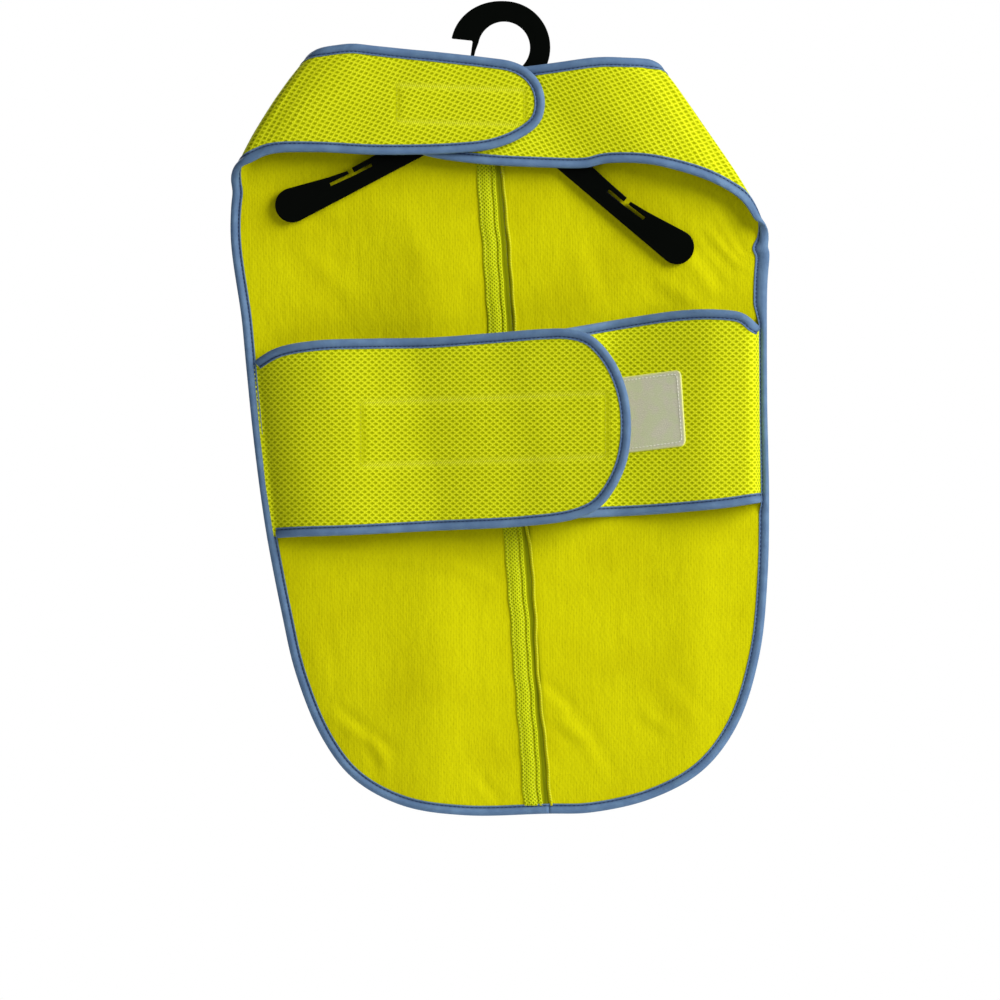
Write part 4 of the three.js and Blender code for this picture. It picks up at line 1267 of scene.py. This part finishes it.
# The right strap's own height, as far as it is seen. Between the two distances below it goes over to the
# left one's, less the lap.
RIGHT_RISE = graph([
    (0, 0), (5, 0), (6, 2.4), (7, 6.2), (8.2, 10.0), (9.6, 12.6), (12, 14.3), (16, 15.0), (23, 15.1),
    (30, 15.1), (36, 14.9), (42, 14.3), (48, 13.2), (55, 11.6), (63, 9.6), (73, 7.1), (83, 4.8), (93, 2.8),
    (103, 1.5), (112, 1.1), (400, 1.1),
])
UNDER_FROM, UNDER_TO = 108, 172

# %% Belly surfaces
# The line along which each strap is sewn in: x, the height of that point, and its lean, x for each z.
SIDE_LINE = {"left": (-185.6, -240.0, -0.118), "right": (188.6, -272.0, -0.01)}


def side_at(side, z):
    x, middle, lean = SIDE_LINE[side]
    return x + lean * (z - middle)


def belly_rise(side, p):
    """Height of a strap's middle over its place on the back panel, at seen points."""
    x, z = p[..., 0], p[..., 1]
    from_left = x - side_at("left", z)
    high = LEFT_RISE(from_left + 3.5 * np.sin((z + 250) / 50) * ramp(from_left, 30, 60))
    along = 0.25 * np.sin(z / 17 + x / 60) * ramp(from_left, 15, 60)
    if side == "left":
        tilt = 0.9 * np.sin((z + 297) / 62) * bell(from_left, 78, 34)
        return high + along + tilt * ramp(from_left, 10, 40)
    from_right = side_at("right", z) - x
    sway = 3.0 * np.sin((z + 262) / 38) * ramp(from_right, 16, 36)
    under = ramp(from_right, UNDER_FROM, UNDER_TO)
    return RIGHT_RISE(from_right + sway) * (1 - under) + (high - LAP + along) * under


def belly_place(side):
    """place(p, level) for a strap: out along the normal of its height, measured over a small nudge."""
    nudge = 0.05
    dx, dz = np.array([nudge, 0]), np.array([0, nudge])

    def place(p, level):
        slope_x = (belly_rise(side, p + dx) - belly_rise(side, p - dx)) / (2 * nudge)
        slope_z = (belly_rise(side, p + dz) - belly_rise(side, p - dz)) / (2 * nudge)
        normal = np.stack([-slope_x, -np.ones_like(slope_x), -slope_z], axis=-1)
        normal /= np.linalg.norm(normal, axis=-1)[..., None]
        depth = BACK_Y - STACK - belly_rise(side, p)
        return np.stack([p[..., 0], depth, p[..., 1]], axis=-1) + normal * np.asarray(level)[..., None]

    return place


BELLY = {
    "left": {
        "base": (-244.5, -370.8),
        "edge": table("""
            top-edge       -164    -236.4
            top-edge       -136    -231.2
            top-edge       -95     -229.7
            top-edge       -53     -229
            top-edge       -12     -226.2
            top-edge       28.8    -223.2
            end-begins     46      -223.2
            end            61.5    -227.6
            end            77.5    -245
            end            87.5    -270
            tip            89.6    -297
            end            86      -319
            end            77.5    -337.3
            end            67      -349.8
            end            50.5    -357.2
            bottom-edge    15      -362.2
            bottom-edge    -53     -365.7
            bottom-edge    -109    -368.6
            bottom-edge    -150    -370"""),
    },
    "right": {
        "base": (-220.0, -345.6),
        "edge": table("""
            top-edge       172     -211.7
            top-edge       153.4   -208.8
            top-edge       125.3   -209.5
            top-edge       84      -215.3
            top-edge       40      -223.2
            under-left     -10     -231.5
            end-begins     -46     -236
            end            -62     -243
            end            -75     -262
            tip            -80     -292
            end            -76     -323
            end            -64     -345
            end            -46     -354
            bottom-edge    -5      -357.5
            bottom-edge    70.6    -355.7
            bottom-edge    111.6   -353.5
            bottom-edge    160     -349"""),
    },
}

# %% Belly grids
SEWN_END, SEWN_FREE = 0.9, 7.0  # the sewn end, from the side's edge to where the strap comes free
SEWN_ROWS, BELLY_ACROSS, BELLY_ALONG = 4, 76, 120


def cut_belly(side):
    """Grid of seen points of a strap, from its sewn end to its round one."""
    top, bottom = BELLY[side]["base"]
    inward = -np.sign(SIDE_LINE[side][0])

    def sewn(distance):
        heights = np.array([top, bottom])
        return np.stack([side_at(side, heights) + inward * distance, heights], axis=1)

    end, free = sewn(SEWN_END), sewn(SEWN_FREE)
    edge = smooth_curve(np.vstack([free[:1], BELLY[side]["edge"], free[1:]]))
    joined = [straight(end[k], free[k]) for k in (0, 1)]
    hidden = coons(straight(*end), straight(*free), *joined, BELLY_ACROSS, SEWN_ROWS)
    start, finish = STRAP_END
    round_end, upper, lower = part_of(edge, start, finish), part_of(edge, 0, start), part_of(edge, 1, finish)
    shown = coons(straight(*free), round_end, upper, lower, BELLY_ACROSS, BELLY_ALONG)
    return join_rows(hidden, shown)


def unrolled(side, grid, margin=20):
    """The flat cut of a strap: seen x replaced by the length walked over the strap's rise from its side."""
    middle = grid[..., 1].mean()
    inward = -np.sign(SIDE_LINE[side][0])
    distance = np.linspace(-margin, 300, 1601)
    seen = np.stack([side_at(side, middle) + inward * distance, np.full_like(distance, middle)], axis=-1)
    slope = np.gradient(belly_rise(side, seen), distance)
    walked = np.concatenate([[0], np.cumsum(np.sqrt(1 + slope**2)[1:] * np.diff(distance))])
    length = np.interp(inward * (grid[..., 0] - side_at(side, middle)), distance, walked) - margin
    return np.stack([length, grid[..., 1]], axis=-1)


BELLY_GRIDS = {side: cut_belly(side) for side in BELLY}
BELLY_FLATS = {side: unrolled(side, grid) for side, grid in BELLY_GRIDS.items()}

# %% Belly cloths


def build_belly(side):
    grid, flat = BELLY_GRIDS[side], BELLY_FLATS[side]
    place = belly_place(side)
    lines, ends = np.zeros((2, *grid.shape[:-1]))
    if side == "left":
        lines, ends = sewing_marks(grid, "belly_hook", 2.1)
    pinched = lambda p, level: place(p, level - 0.7 * np.maximum(lines, ends))
    marks = {"pinch": lines, "press_and_shade": ends, "seam_shade": 0 * lines}
    cloth = shell(f"belly_strap_{side}_cloth", grid, pinched, flat, marks)
    seat(dress(cloth, NET, KNIT), "mesh_cloth", f"belly_strap_{side}")
    size = [round(v, 3) for v in flat_size(flat)]
    print(cloth.name, "flat", size, "m, area", round(grid_area(flat), 4))
    return cloth


BELLY_CLOTHS = {side: build_belly(side) for side in BELLY}

# %% [markdown]
# ## Binding the edges
# Each half's tape starts at the neck seam, goes round the strap and its round end, over the shoulder fold and
# down the side to the tail. Where a belly strap is sewn in, the inner flange steps out over it. Two rows of
# stitches are one machine row: what the needle leaves on both faces.

# %% Stitch rows
BOUND = HALF_CLOTH + LIFT
# The thread lies this far above the groove's floor.
SEW_LEVEL = float(np.interp(STITCH_IN, SECTION[::-1, 0], SECTION[::-1, 1]))
THREAD_RISE = 0.12


def stitch_rows(name, path, place, cloth_side, coarse, smooth, reach):
    """The row of stitches on both flanges of a binding, as one piece."""
    inwards = outward_of(path, cloth_side) * -STITCH_IN
    ends = [stitch_ends(path + inwards, place, coarse + SEW_LEVEL + THREAD_RISE)]
    inwards = inwards * np.broadcast_to(reach, len(path))[:, None]
    ends.append(stitch_ends(path + inwards, place, -(smooth + SEW_LEVEL + THREAD_RISE)))
    a, b, up = (np.concatenate(parts) for parts in zip(*ends))
    return dress(stitches(name, a, b, up), BLUE_THREAD)


def bind(node, path, place, cloth_side, coarse, smooth, reach=1.0):
    """Tape and stitching along a flat path, as the pieces of one node."""
    sections = tape_sections(path, place, cloth_side, coarse, smooth, reach)
    # The tape carries the groove's painted shade as an attribute.
    tape = tube(f"{node}_tape", sections, distances(path), {"groove_shade": GROOVE_SHADE_ROUND})
    seat(dress(tape, TAPE), "binding_tape", node)
    sewing = stitch_rows(f"{node}_stitches", path, place, cloth_side, coarse, smooth, reach)
    print(tape.name, len(path), "sections,", round(distances(path)[-1]), "mm long")
    return tape, seat(sewing, "binding_tape")


# %% Half bindings
# The inner flange steps over a sewn-in strap between these two distances past the strap's edges.
STEP_IN, STEP_OUT = 1, 9


def build_binding(side):
    """Binding of one half. The right one's inner flange is narrower on the strap and wider above it."""
    fold = HALVES[side]["fold"]
    path = evenly(bound_edge(GRIDS[side]), 2.4, 3)
    x, z = path.T
    past = fold.beyond(path)
    top, bottom = BELLY[side]["base"]
    beside = np.abs(x - side_at(side, z)) < STEP_OUT
    step = ramp(z, bottom - STEP_OUT, bottom - STEP_IN) * (1 - ramp(z, top + STEP_IN, top + STEP_OUT))
    step = step * beside * (past < 0)
    reach = np.ones(len(path))
    if side == "right":
        above = (1 - ramp(past, 0, 12)) * (1 - ramp(-z, 202, 214)) * (x > 170)
        reach = 1 - 0.2 * step + 0.4 * above
    coarse, smooth = np.full(len(path), BOUND), BOUND + STACK * step
    return bind(f"binding_{side}", path, fold.place, 1 if side == "left" else -1, coarse, smooth, reach)


BINDINGS = {side: build_binding(side) for side in HALVES}

# %% Belly bindings


def build_belly_binding(side):
    """Binding of a belly strap's free edges. The right one begins a row further under the side binding."""
    grid = BELLY_GRIDS[side][SEWN_ROWS if side == "left" else SEWN_ROWS - 1:]
    path = evenly(np.concatenate([grid[:, 0], grid[-1, 1:-1], grid[::-1, -1]]), 2.2, 2)
    level = np.full(len(path), BOUND)
    return bind(f"belly_binding_{side}", path, belly_place(side), -1 if side == "left" else 1, level, level)


BELLY_BINDINGS = {side: build_belly_binding(side) for side in BELLY}

# %% [markdown]
# ## Hook and loop tape
# A tape patch is a slab with rounded corners and a slightly soft rim, sewn all round. Its grid is a rectangle
# whose rows grow shorter in the corners, laid on the strap's own surface.

# %% Tape patches
PATCHES = {
    # node: side, strap, 1 on its coarse face or -1 behind it, corner radius
    "chest_hook": ("left", "chest", -1, 3.0),
    "chest_loop": ("right", "chest", 1, 3.0),
    "belly_hook": ("left", "belly", -1, 3.0),
    "belly_loop": ("right", "belly", 1, 4.2),
}
PATCH_THICK = 0.95


def dense(half, cells):
    """Places from -half to half, with a few close together at both rims."""
    rim = half - np.array([0, 0.12, 0.35, 0.7, 1.2])
    return np.concatenate([-rim, np.linspace(-half + 2, half - 2, cells), rim[::-1]])


def patch_grid(corners, radius):
    """Rounded rectangle as a grid, with each point's distance from the rim and its own flat place."""
    a, b, c, d = corners
    width, height = np.linalg.norm(d - a), np.linalg.norm(b - a)
    y = dense(height / 2, 30)
    into = np.clip(np.abs(y) - (height / 2 - radius), 0, radius)
    half_width = width / 2 - radius + np.sqrt(radius**2 - into**2)
    u = dense(width / 2, 44) / (width / 2)
    x = u[None] * half_width[:, None]
    y = y[:, None] + 0 * x
    rim = np.minimum(half_width[:, None] - np.abs(x), height / 2 - np.abs(y))
    s, t = (x / width + 0.5)[..., None], (0.5 - y / height)[..., None]
    flat = (a * (1 - s) + d * s) * (1 - t) + (b * (1 - s) + c * s) * t
    return flat, np.maximum(rim, 0), np.stack([x, y], axis=-1)


def on_strap(side, kind):
    """place(p, level) on a strap, for points given as they lie."""
    if kind == "belly":
        return belly_place(side)
    fold = HALVES[side]["fold"]
    return lambda p, level: fold.place(fold.mirror(p), level)


def sewing_loop(node, distance, softness):
    """The path of a tape's sewing, once round inside its corners."""
    corners = inset(CLOSURES[node], distance)
    return evenly(np.vstack([corners, corners[:1]]), 1.5, softness)


def build_patch(node):
    """A patch's slab, whose line of sewing is pressed in a little, and its stitches."""
    side, kind, facing, radius = PATCHES[node]
    place = on_strap(side, kind)
    flat, rim, own = patch_grid(CLOSURES[node], radius)
    soft = np.sqrt(1 - (1 - np.clip(rim / 0.8, 0, 1)) ** 2)
    near = facing * (HALF_CLOTH + LIFT)
    thick = PATCH_THICK * soft - 0.12 * bell(rim, TAPE_INSET, 0.7)
    rows, columns = flat.shape[:2]
    top = place(flat, near + facing * thick)
    foot = place(flat, np.full((rows, columns), near))
    count = rows * columns
    around = rim_of(rows, columns)
    after = np.roll(around, -1)
    wall = np.stack([around, after, after + count, around + count], axis=1)
    faces = np.concatenate([grid_quads(rows, columns, 0, True), grid_quads(rows, columns, count), wall])
    uv = np.concatenate([own.reshape(-1, 2)] * 2)
    edge = {"rim": np.concatenate([bell(rim, 0.2, 0.7).reshape(-1), np.ones(count)])}
    points = np.concatenate([top.reshape(-1, 3), foot.reshape(-1, 3)])
    made = new_object(f"{node}_tape", points, faces, uv, attributes=edge)
    seat(dress(outward_faces(made), LOOP_PILE), "fastener_tape", node)
    loop = sewing_loop(node, TAPE_INSET, 3)
    a, b, up = stitch_ends(loop, place, near + facing * (PATCH_THICK + 0.1), 2.6)
    return made, seat(dress(stitches(f"{node}_stitches", a, b, up), WHITE_THREAD), "fastener_tape")


TAPES = {node: build_patch(node) for node in PATCHES}

# %% Stitches on the net


def build_net_row(node):
    """The same stitching where it comes through on the net: two long rows and two short ones."""
    side, kind, _, _ = PATCHES[node]
    loop = sewing_loop(node, NET_INSET, 1)
    a, b, up = stitch_ends(loop, on_strap(side, kind), HALF_CLOTH - 0.5, 2.8, 0.7)
    return seat(dress(stitches(f"{node}_front_stitches", a, b, up, 0.2), LIME_THREAD), "mesh_cloth")


NET_SEWING = {node: build_net_row(node) for node in ("chest_hook", "belly_hook")}

# %% [markdown]
# ## The centre seam
# Inside the back, the seam allowance is turned to the left and sewn down. It shows as a strip of net with a
# row of stitches at each side. A narrow strip beside it ends in a ditch at the seam, and the right half's
# edge stands up behind the ditch as a bright overlocked lip.

# %% Seam strips
SEAM_SPAN = (-76.0, -565.0)


def seam_strip(name, profile, wander, material, waves, spacing=1.6):
    """A strip beside the seam, whose profile goes down its whole length.

    wander(z) shifts it sideways, and its height varies by the share that waves gives.
    """
    top, bottom = SEAM_SPAN
    z = np.linspace(top, bottom, int((top - bottom) / spacing))[:, None]
    distance, height = np.array(profile, float).T
    x = seam_x(z) + distance[None] + wander(z)
    lively = 1 + waves * np.sin(z / 5.1 + distance[None]) * np.sin(z / 13.7)
    level = -(HALF_CLOTH + height[None] * lively)
    sections = LEFT_FOLD.place(np.stack([x, z + 0 * x], axis=-1), level)
    return dress(tube(name, sections, -z[:, 0]), material)


def wavy(z):
    return 0.35 * np.sin(z / 9.5) * np.sin(z / 31) + 0.25 * np.sin(z / 4.3 + 1)


# Once over each strip: distance from the seam, and height over the knit.
ALLOWANCE = [
    (-17.4, 0.02), (-17.6, 0.4), (-17.2, 0.95), (-16.3, 1.0), (-15.6, 0.7), (-14.2, 1.3), (-12.4, 1.45),
    (-10.6, 1.4), (-9.2, 1.15), (-8.6, 0.75), (-8.0, 0.85), (-7.7, 0.5), (-7.7, 0.02),
]
NARROW = [(-7.1, 0.02), (-7.1, 0.3), (-6.6, 0.62), (-5.7, 0.78), (-4.8, 0.66), (-4.2, 0.34), (-4.1, 0.02)]
LIP = [(0.7, 0.02), (1.0, 0.3), (1.5, 0.8), (2.0, 1.2), (2.55, 1.25), (2.9, 0.85), (3.05, 0.3), (3.1, 0.02)]


def lip_wander(z):
    """The lip leans over the ditch behind the belly strap, near the neck and halfway down the rest."""
    return wavy(z) - 2.9 * bell(z, -352, 26) - 1.6 * bell(z, -80, 40) - 2.3 * bell(z, -466, 52)


allowance = seam_strip("seam_allowance_strip", ALLOWANCE, wavy, PRESSED_NET, 0.08)
narrow = seam_strip("seam_narrow_strip", NARROW, wavy, PRESSED_NET, 0.1)
lip = seam_strip("seam_lip_strip", LIP, lip_wander, KNIT, 0.2)
seat(allowance, "mesh_cloth", "seam_allowance")
seat(narrow, "mesh_cloth")
seat(lip, "mesh_cloth", "seam_lip")

# %% Seam stitches


def seam_row(name, distance, height, wander, pitch, slant=0.0, thread=0.22):
    """A row of stitches beside the seam. A slanted row is an overlock: each stitch crosses the lip."""
    top, bottom = SEAM_SPAN
    z = np.arange(top - 2, bottom + 4, -pitch)
    line = lambda z, off: np.stack([seam_x(z) + distance + wander(z) + off, z], axis=-1)
    level = np.full(len(z), -(HALF_CLOTH + height))
    a = LEFT_FOLD.place(line(z, -slant / 2), level)
    b = LEFT_FOLD.place(line(z - pitch * 0.7, slant / 2), level)
    up = LEFT_FOLD.place(line(z, 0), level - 0.5) - LEFT_FOLD.place(line(z, 0), level)
    return seat(dress(stitches(name, a, b, up, thread), LIME_THREAD), "mesh_cloth")


SEAM_SEWING = [
    seam_row("seam_stitches_outer", -15.7, 0.80, wavy, 2.6),
    seam_row("seam_stitches_inner", -8.5, 0.82, wavy, 2.6),
    seam_row("seam_overlock", 2.3, 1.25, lip_wander, 1.9, 1.7, 0.36),
]

# %% [markdown]
# ## The hanger
# A plain moulded hanger: a flat hook, two drooping arms with notches for straps, and round paddles. Its
# outline is arcs and short tables, and its edges are rounded by a small profile carried round the outline.

# %% Hanger outline
# tip, stem, tilt and droop are angles in degrees. drop is how far the arms' middle lies below the bore's.
HOOK = {
    "bore": 18.7,
    "rim": 33.3,
    "flare": 5.0,
    "tip": 176,
    "stem": -38,
    "drop": 50.4,
    "droop": 34.0,
    "tilt": 6.2,
}
# A narrow neck beside a flat shoulder, from the inside of the hook to its outside.
HOOK_END = table("""
    neck              -20.1    -4
    neck-tip          -20.9    -9.5
    neck-tip          -23.3    -9.5
    neck              -23      1.6
    shoulder          -23.8    2.4
    shoulder          -37.4    2.3""")
ARM = table("""
    hub               2      20.5
    shank             60     17.8
    inner-finger      95     16.4
    inner-finger-tip  109.2  16.2
    gap               109.2  12.7
    inner-slot        95.5   12.7
    inner-slot        95.5   10.3
    gap-foot          111    10.6
    outer-slot        128.5  11.6
    outer-slot        128.5  14
    gap               113.1  13.3
    outer-finger-tip  113.1  15.8
    outer-finger      126.7  17.9""")
PADDLE = {"centre": (159.6, 12.4), "radius": 12.4}


def arc(centre, radius, start, end, count):
    angle = np.radians(np.linspace(start, end, count + 1))
    return np.array(centre) + radius * np.stack([np.cos(angle), np.sin(angle)], axis=1)


def turned(points, degrees):
    c, s = np.cos(np.radians(degrees)), np.sin(np.radians(degrees))
    return points @ np.array([[c, s], [-s, c]])


def bend(a, middle, b, count=12):
    """Quadratic curve between two points, pulled towards a middle one, without its ends."""
    t = np.linspace(0, 1, count + 1)[1:-1, None]
    return (1 - t) ** 2 * a + 2 * t * (1 - t) * np.array(middle) + t * t * b


def hanger_outline():
    """The outline once round, about the hook's centre, then tilted and hung by the hook's inside top."""
    tip = arc(PADDLE["centre"], PADDLE["radius"], 103, -90, 36)
    right = turned(np.vstack([ARM, tip]), -HOOK["droop"]) - [0, HOOK["drop"]]
    left = (right * [-1, 1])[::-1]
    outer = arc((0, 0), HOOK["rim"], HOOK["tip"], HOOK["stem"], 90)
    flare = HOOK["flare"] * ramp(np.linspace(HOOK["tip"], HOOK["stem"], len(outer)), 90, 180)
    outer = outer * (1 + flare / HOOK["rim"])[:, None]
    inner = arc((0, 0), HOOK["bore"], HOOK["stem"], HOOK["tip"], 72)
    stems = [bend(outer[-1], (17, -31), right[0]), bend(left[-1], (-2, -23), inner[0])]
    outline = np.vstack([outer, stems[0], right, [[0, -HOOK["drop"]]], left, stems[1], inner, HOOK_END])
    return turned(outline, -HOOK["tilt"]) - [0, HOOK["bore"]]


# %% Hanger mesh


def moved_in(outline, distance):
    """The outline moved inwards, each corner along the mean of its sides' normals, by their miter."""
    side = np.roll(outline, -1, axis=0) - outline
    side /= np.linalg.norm(side, axis=1)[:, None]
    across = np.stack([side[:, 1], -side[:, 0]], axis=1)
    normal = across + np.roll(across, 1, axis=0)
    normal /= np.linalg.norm(normal, axis=1)[:, None]
    slant = np.clip(normal[:, 0] * across[:, 0] + normal[:, 1] * across[:, 1], 0.5, 1)
    return outline + normal * (distance / slant)[:, None]


def build_hanger(bevel=0.6, steps=5):
    """Rings of the outline through the hanger's thickness, drawn in at both faces by a quarter circle."""
    low, high = reach_of("hanger", 1)
    angle = np.linspace(0, np.pi / 2, steps)
    depth = np.concatenate([low + bevel - bevel * np.cos(angle), high - bevel + bevel * np.sin(angle)])
    inwards = np.concatenate([bevel - bevel * np.sin(angle), bevel - bevel * np.cos(angle)])
    rings = np.array([moved_in(hanger_outline(), distance) for distance in inwards])
    y = np.broadcast_to(depth[:, None], rings.shape[:2])
    made = tube("hanger_moulding", np.stack([rings[..., 0], y, rings[..., 1]], axis=-1), depth)
    count = len(made.data.polygons)
    made.data.polygons.foreach_set("use_smooth", np.arange(count) < count - 2)
    return seat(dress(made, PLASTIC), "plastic", "hanger")


hanger = build_hanger()
print(hanger.name, len(hanger.data.polygons), "faces")

# %% [markdown]
# ## The flat size of each cut piece
# Each cut piece's flat size and area are worked out, beside the trims that are sewn on it; nothing further is
# done with them.

# %% Sheets
HALF_TRIMS = {
    "left": [*TAPES["chest_hook"], NET_SEWING["chest_hook"], allowance, narrow, *SEAM_SEWING],
    "right": [*TAPES["chest_loop"], lip],
}
BELLY_TRIMS = {"left": [*TAPES["belly_hook"], NET_SEWING["belly_hook"]], "right": [*TAPES["belly_loop"]]}


def state_sheet(cloth, flat, trims):
    size, area = flat_size(flat), grid_area(flat)


for side in HALVES:
    state_sheet(HALF_CLOTHS[side], GRIDS[side], [*BINDINGS[side], *HALF_TRIMS[side]])
    trims = [*BELLY_BINDINGS[side], *BELLY_TRIMS[side]]
    state_sheet(BELLY_CLOTHS[side], BELLY_FLATS[side], trims)

# %% [markdown]
# ## Stage, light and camera
# The vest hangs in front of nothing, over a pale floor that lies well below its tail. A broad light from the
# upper right gives the straps their shape, a weak one fills the left, a third lights the back, and a pale
# sky keeps shadows soft. The camera looks straight at the vest from far away through a long lens, so that
# outlines show as they were worked out.

# %% Stage
FLOOR_DROP = 330  # from the lowest point of the tail to the floor


def build_floor(spokes=96):
    """Round pale floor below the tail, as level rings."""
    radius = np.concatenate([[0.001], np.linspace(0.2, 1.3, 12)]) / MM
    angle = np.arange(spokes) * 2 * np.pi / spokes
    x = radius[:, None] * np.cos(angle)
    y = radius[:, None] * np.sin(angle)
    floor_z = cad_low[2] / MM - FLOOR_DROP
    points = np.stack([x, y, np.full_like(x, floor_z)], axis=-1).reshape(-1, 3)
    index = np.arange(points.shape[0]).reshape(len(radius), spokes)
    after = np.roll(index, -1, axis=1)
    quads = np.stack([index[:-1], index[1:], after[1:], after[:-1]], axis=-1).reshape(-1, 4)
    floor = new_object("floor", points, [*quads, index[0]])
    paint = Finish("floor_paint", Roughness=0.8)
    where = paint.place()
    cloud = paint.noise(where, 6.0, 3.0)
    tone = paint.mix(cloud, linear(246, 246, 245), linear(250, 250, 249))
    normal = paint.bump(paint.noise(where, 300.0), 0.1, 0.1)
    dress(floor, paint.surface(Base_Color=tone, Normal=normal))


build_floor()

# %% Light


def area_light(name, place, size, power):
    """Round light that points at the middle of the vest. Place and size in metres, power in watts."""
    lamp = bpy.data.lights.new(name, "AREA")
    lamp.shape, lamp.size, lamp.energy = "DISK", size, power
    made = bpy.data.objects.new(name, lamp)
    bpy.context.scene.collection.objects.link(made)
    made.location = place
    made.rotation_euler = Vector(MIDDLE - np.array(place)).to_track_quat("-Z", "Y").to_euler()


MIDDLE = np.array([(cad_low[k] + cad_high[k]) / 2 for k in range(3)])
area_light("key", (2.7, -1.73, 1.3), 2.6, 178)
area_light("fill", (-1.2, -3.2, 0.4), 2.6, 11)
area_light("back_key", (-1.4, 2.2, 1.2), 1.2, 45)

# %% Sky
# The camera sees plain white. What lights the vest is a weak, slightly cool sky.
SKY_COLOUR, SKY_STRENGTH = (0.93, 0.96, 1.0, 1), 0.135
sky = bpy.data.worlds.new("sky")
sky.use_nodes = True
bpy.context.scene.world = sky
tree = sky.node_tree
plain, seen = tree.nodes["Background"], tree.nodes.new("ShaderNodeBackground")
plain.inputs[0].default_value = SKY_COLOUR
plain.inputs[1].default_value = SKY_STRENGTH
seen.inputs[0].default_value = (1, 1, 1, 1)
blend, ray = tree.nodes.new("ShaderNodeMixShader"), tree.nodes.new("ShaderNodeLightPath")
tree.links.new(ray.outputs["Is Camera Ray"], blend.inputs[0])
tree.links.new(plain.outputs[0], blend.inputs[1])
tree.links.new(seen.outputs[0], blend.inputs[2])
tree.links.new(blend.outputs[0], tree.nodes["World Output"].inputs[0])

view = bpy.context.scene.view_settings
view.view_transform = "Standard"
view.look = "None"

# %% Camera
# The width of the view at the vest, and the point that the camera looks at, in metres.
WIDTH_SEEN, LOOK_X, LOOK_Z = 0.72, -0.0029, -0.3445
eye = bpy.data.cameras.new("eye")
eye.sensor_width = 36
eye.lens = 200
camera = bpy.data.objects.new("eye", eye)
bpy.context.scene.collection.objects.link(camera)
camera.location = (LOOK_X, -WIDTH_SEEN * eye.lens / eye.sensor_width, LOOK_Z)
camera.rotation_euler = (np.pi / 2, 0, 0)
bpy.context.scene.camera = camera

# %% Sizes and finish
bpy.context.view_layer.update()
total = sum(len(p.vertices) - 2 for o in bpy.data.objects if o.type == "MESH" for p in o.data.polygons)
print("triangles in all, with the CAD solids:", total)
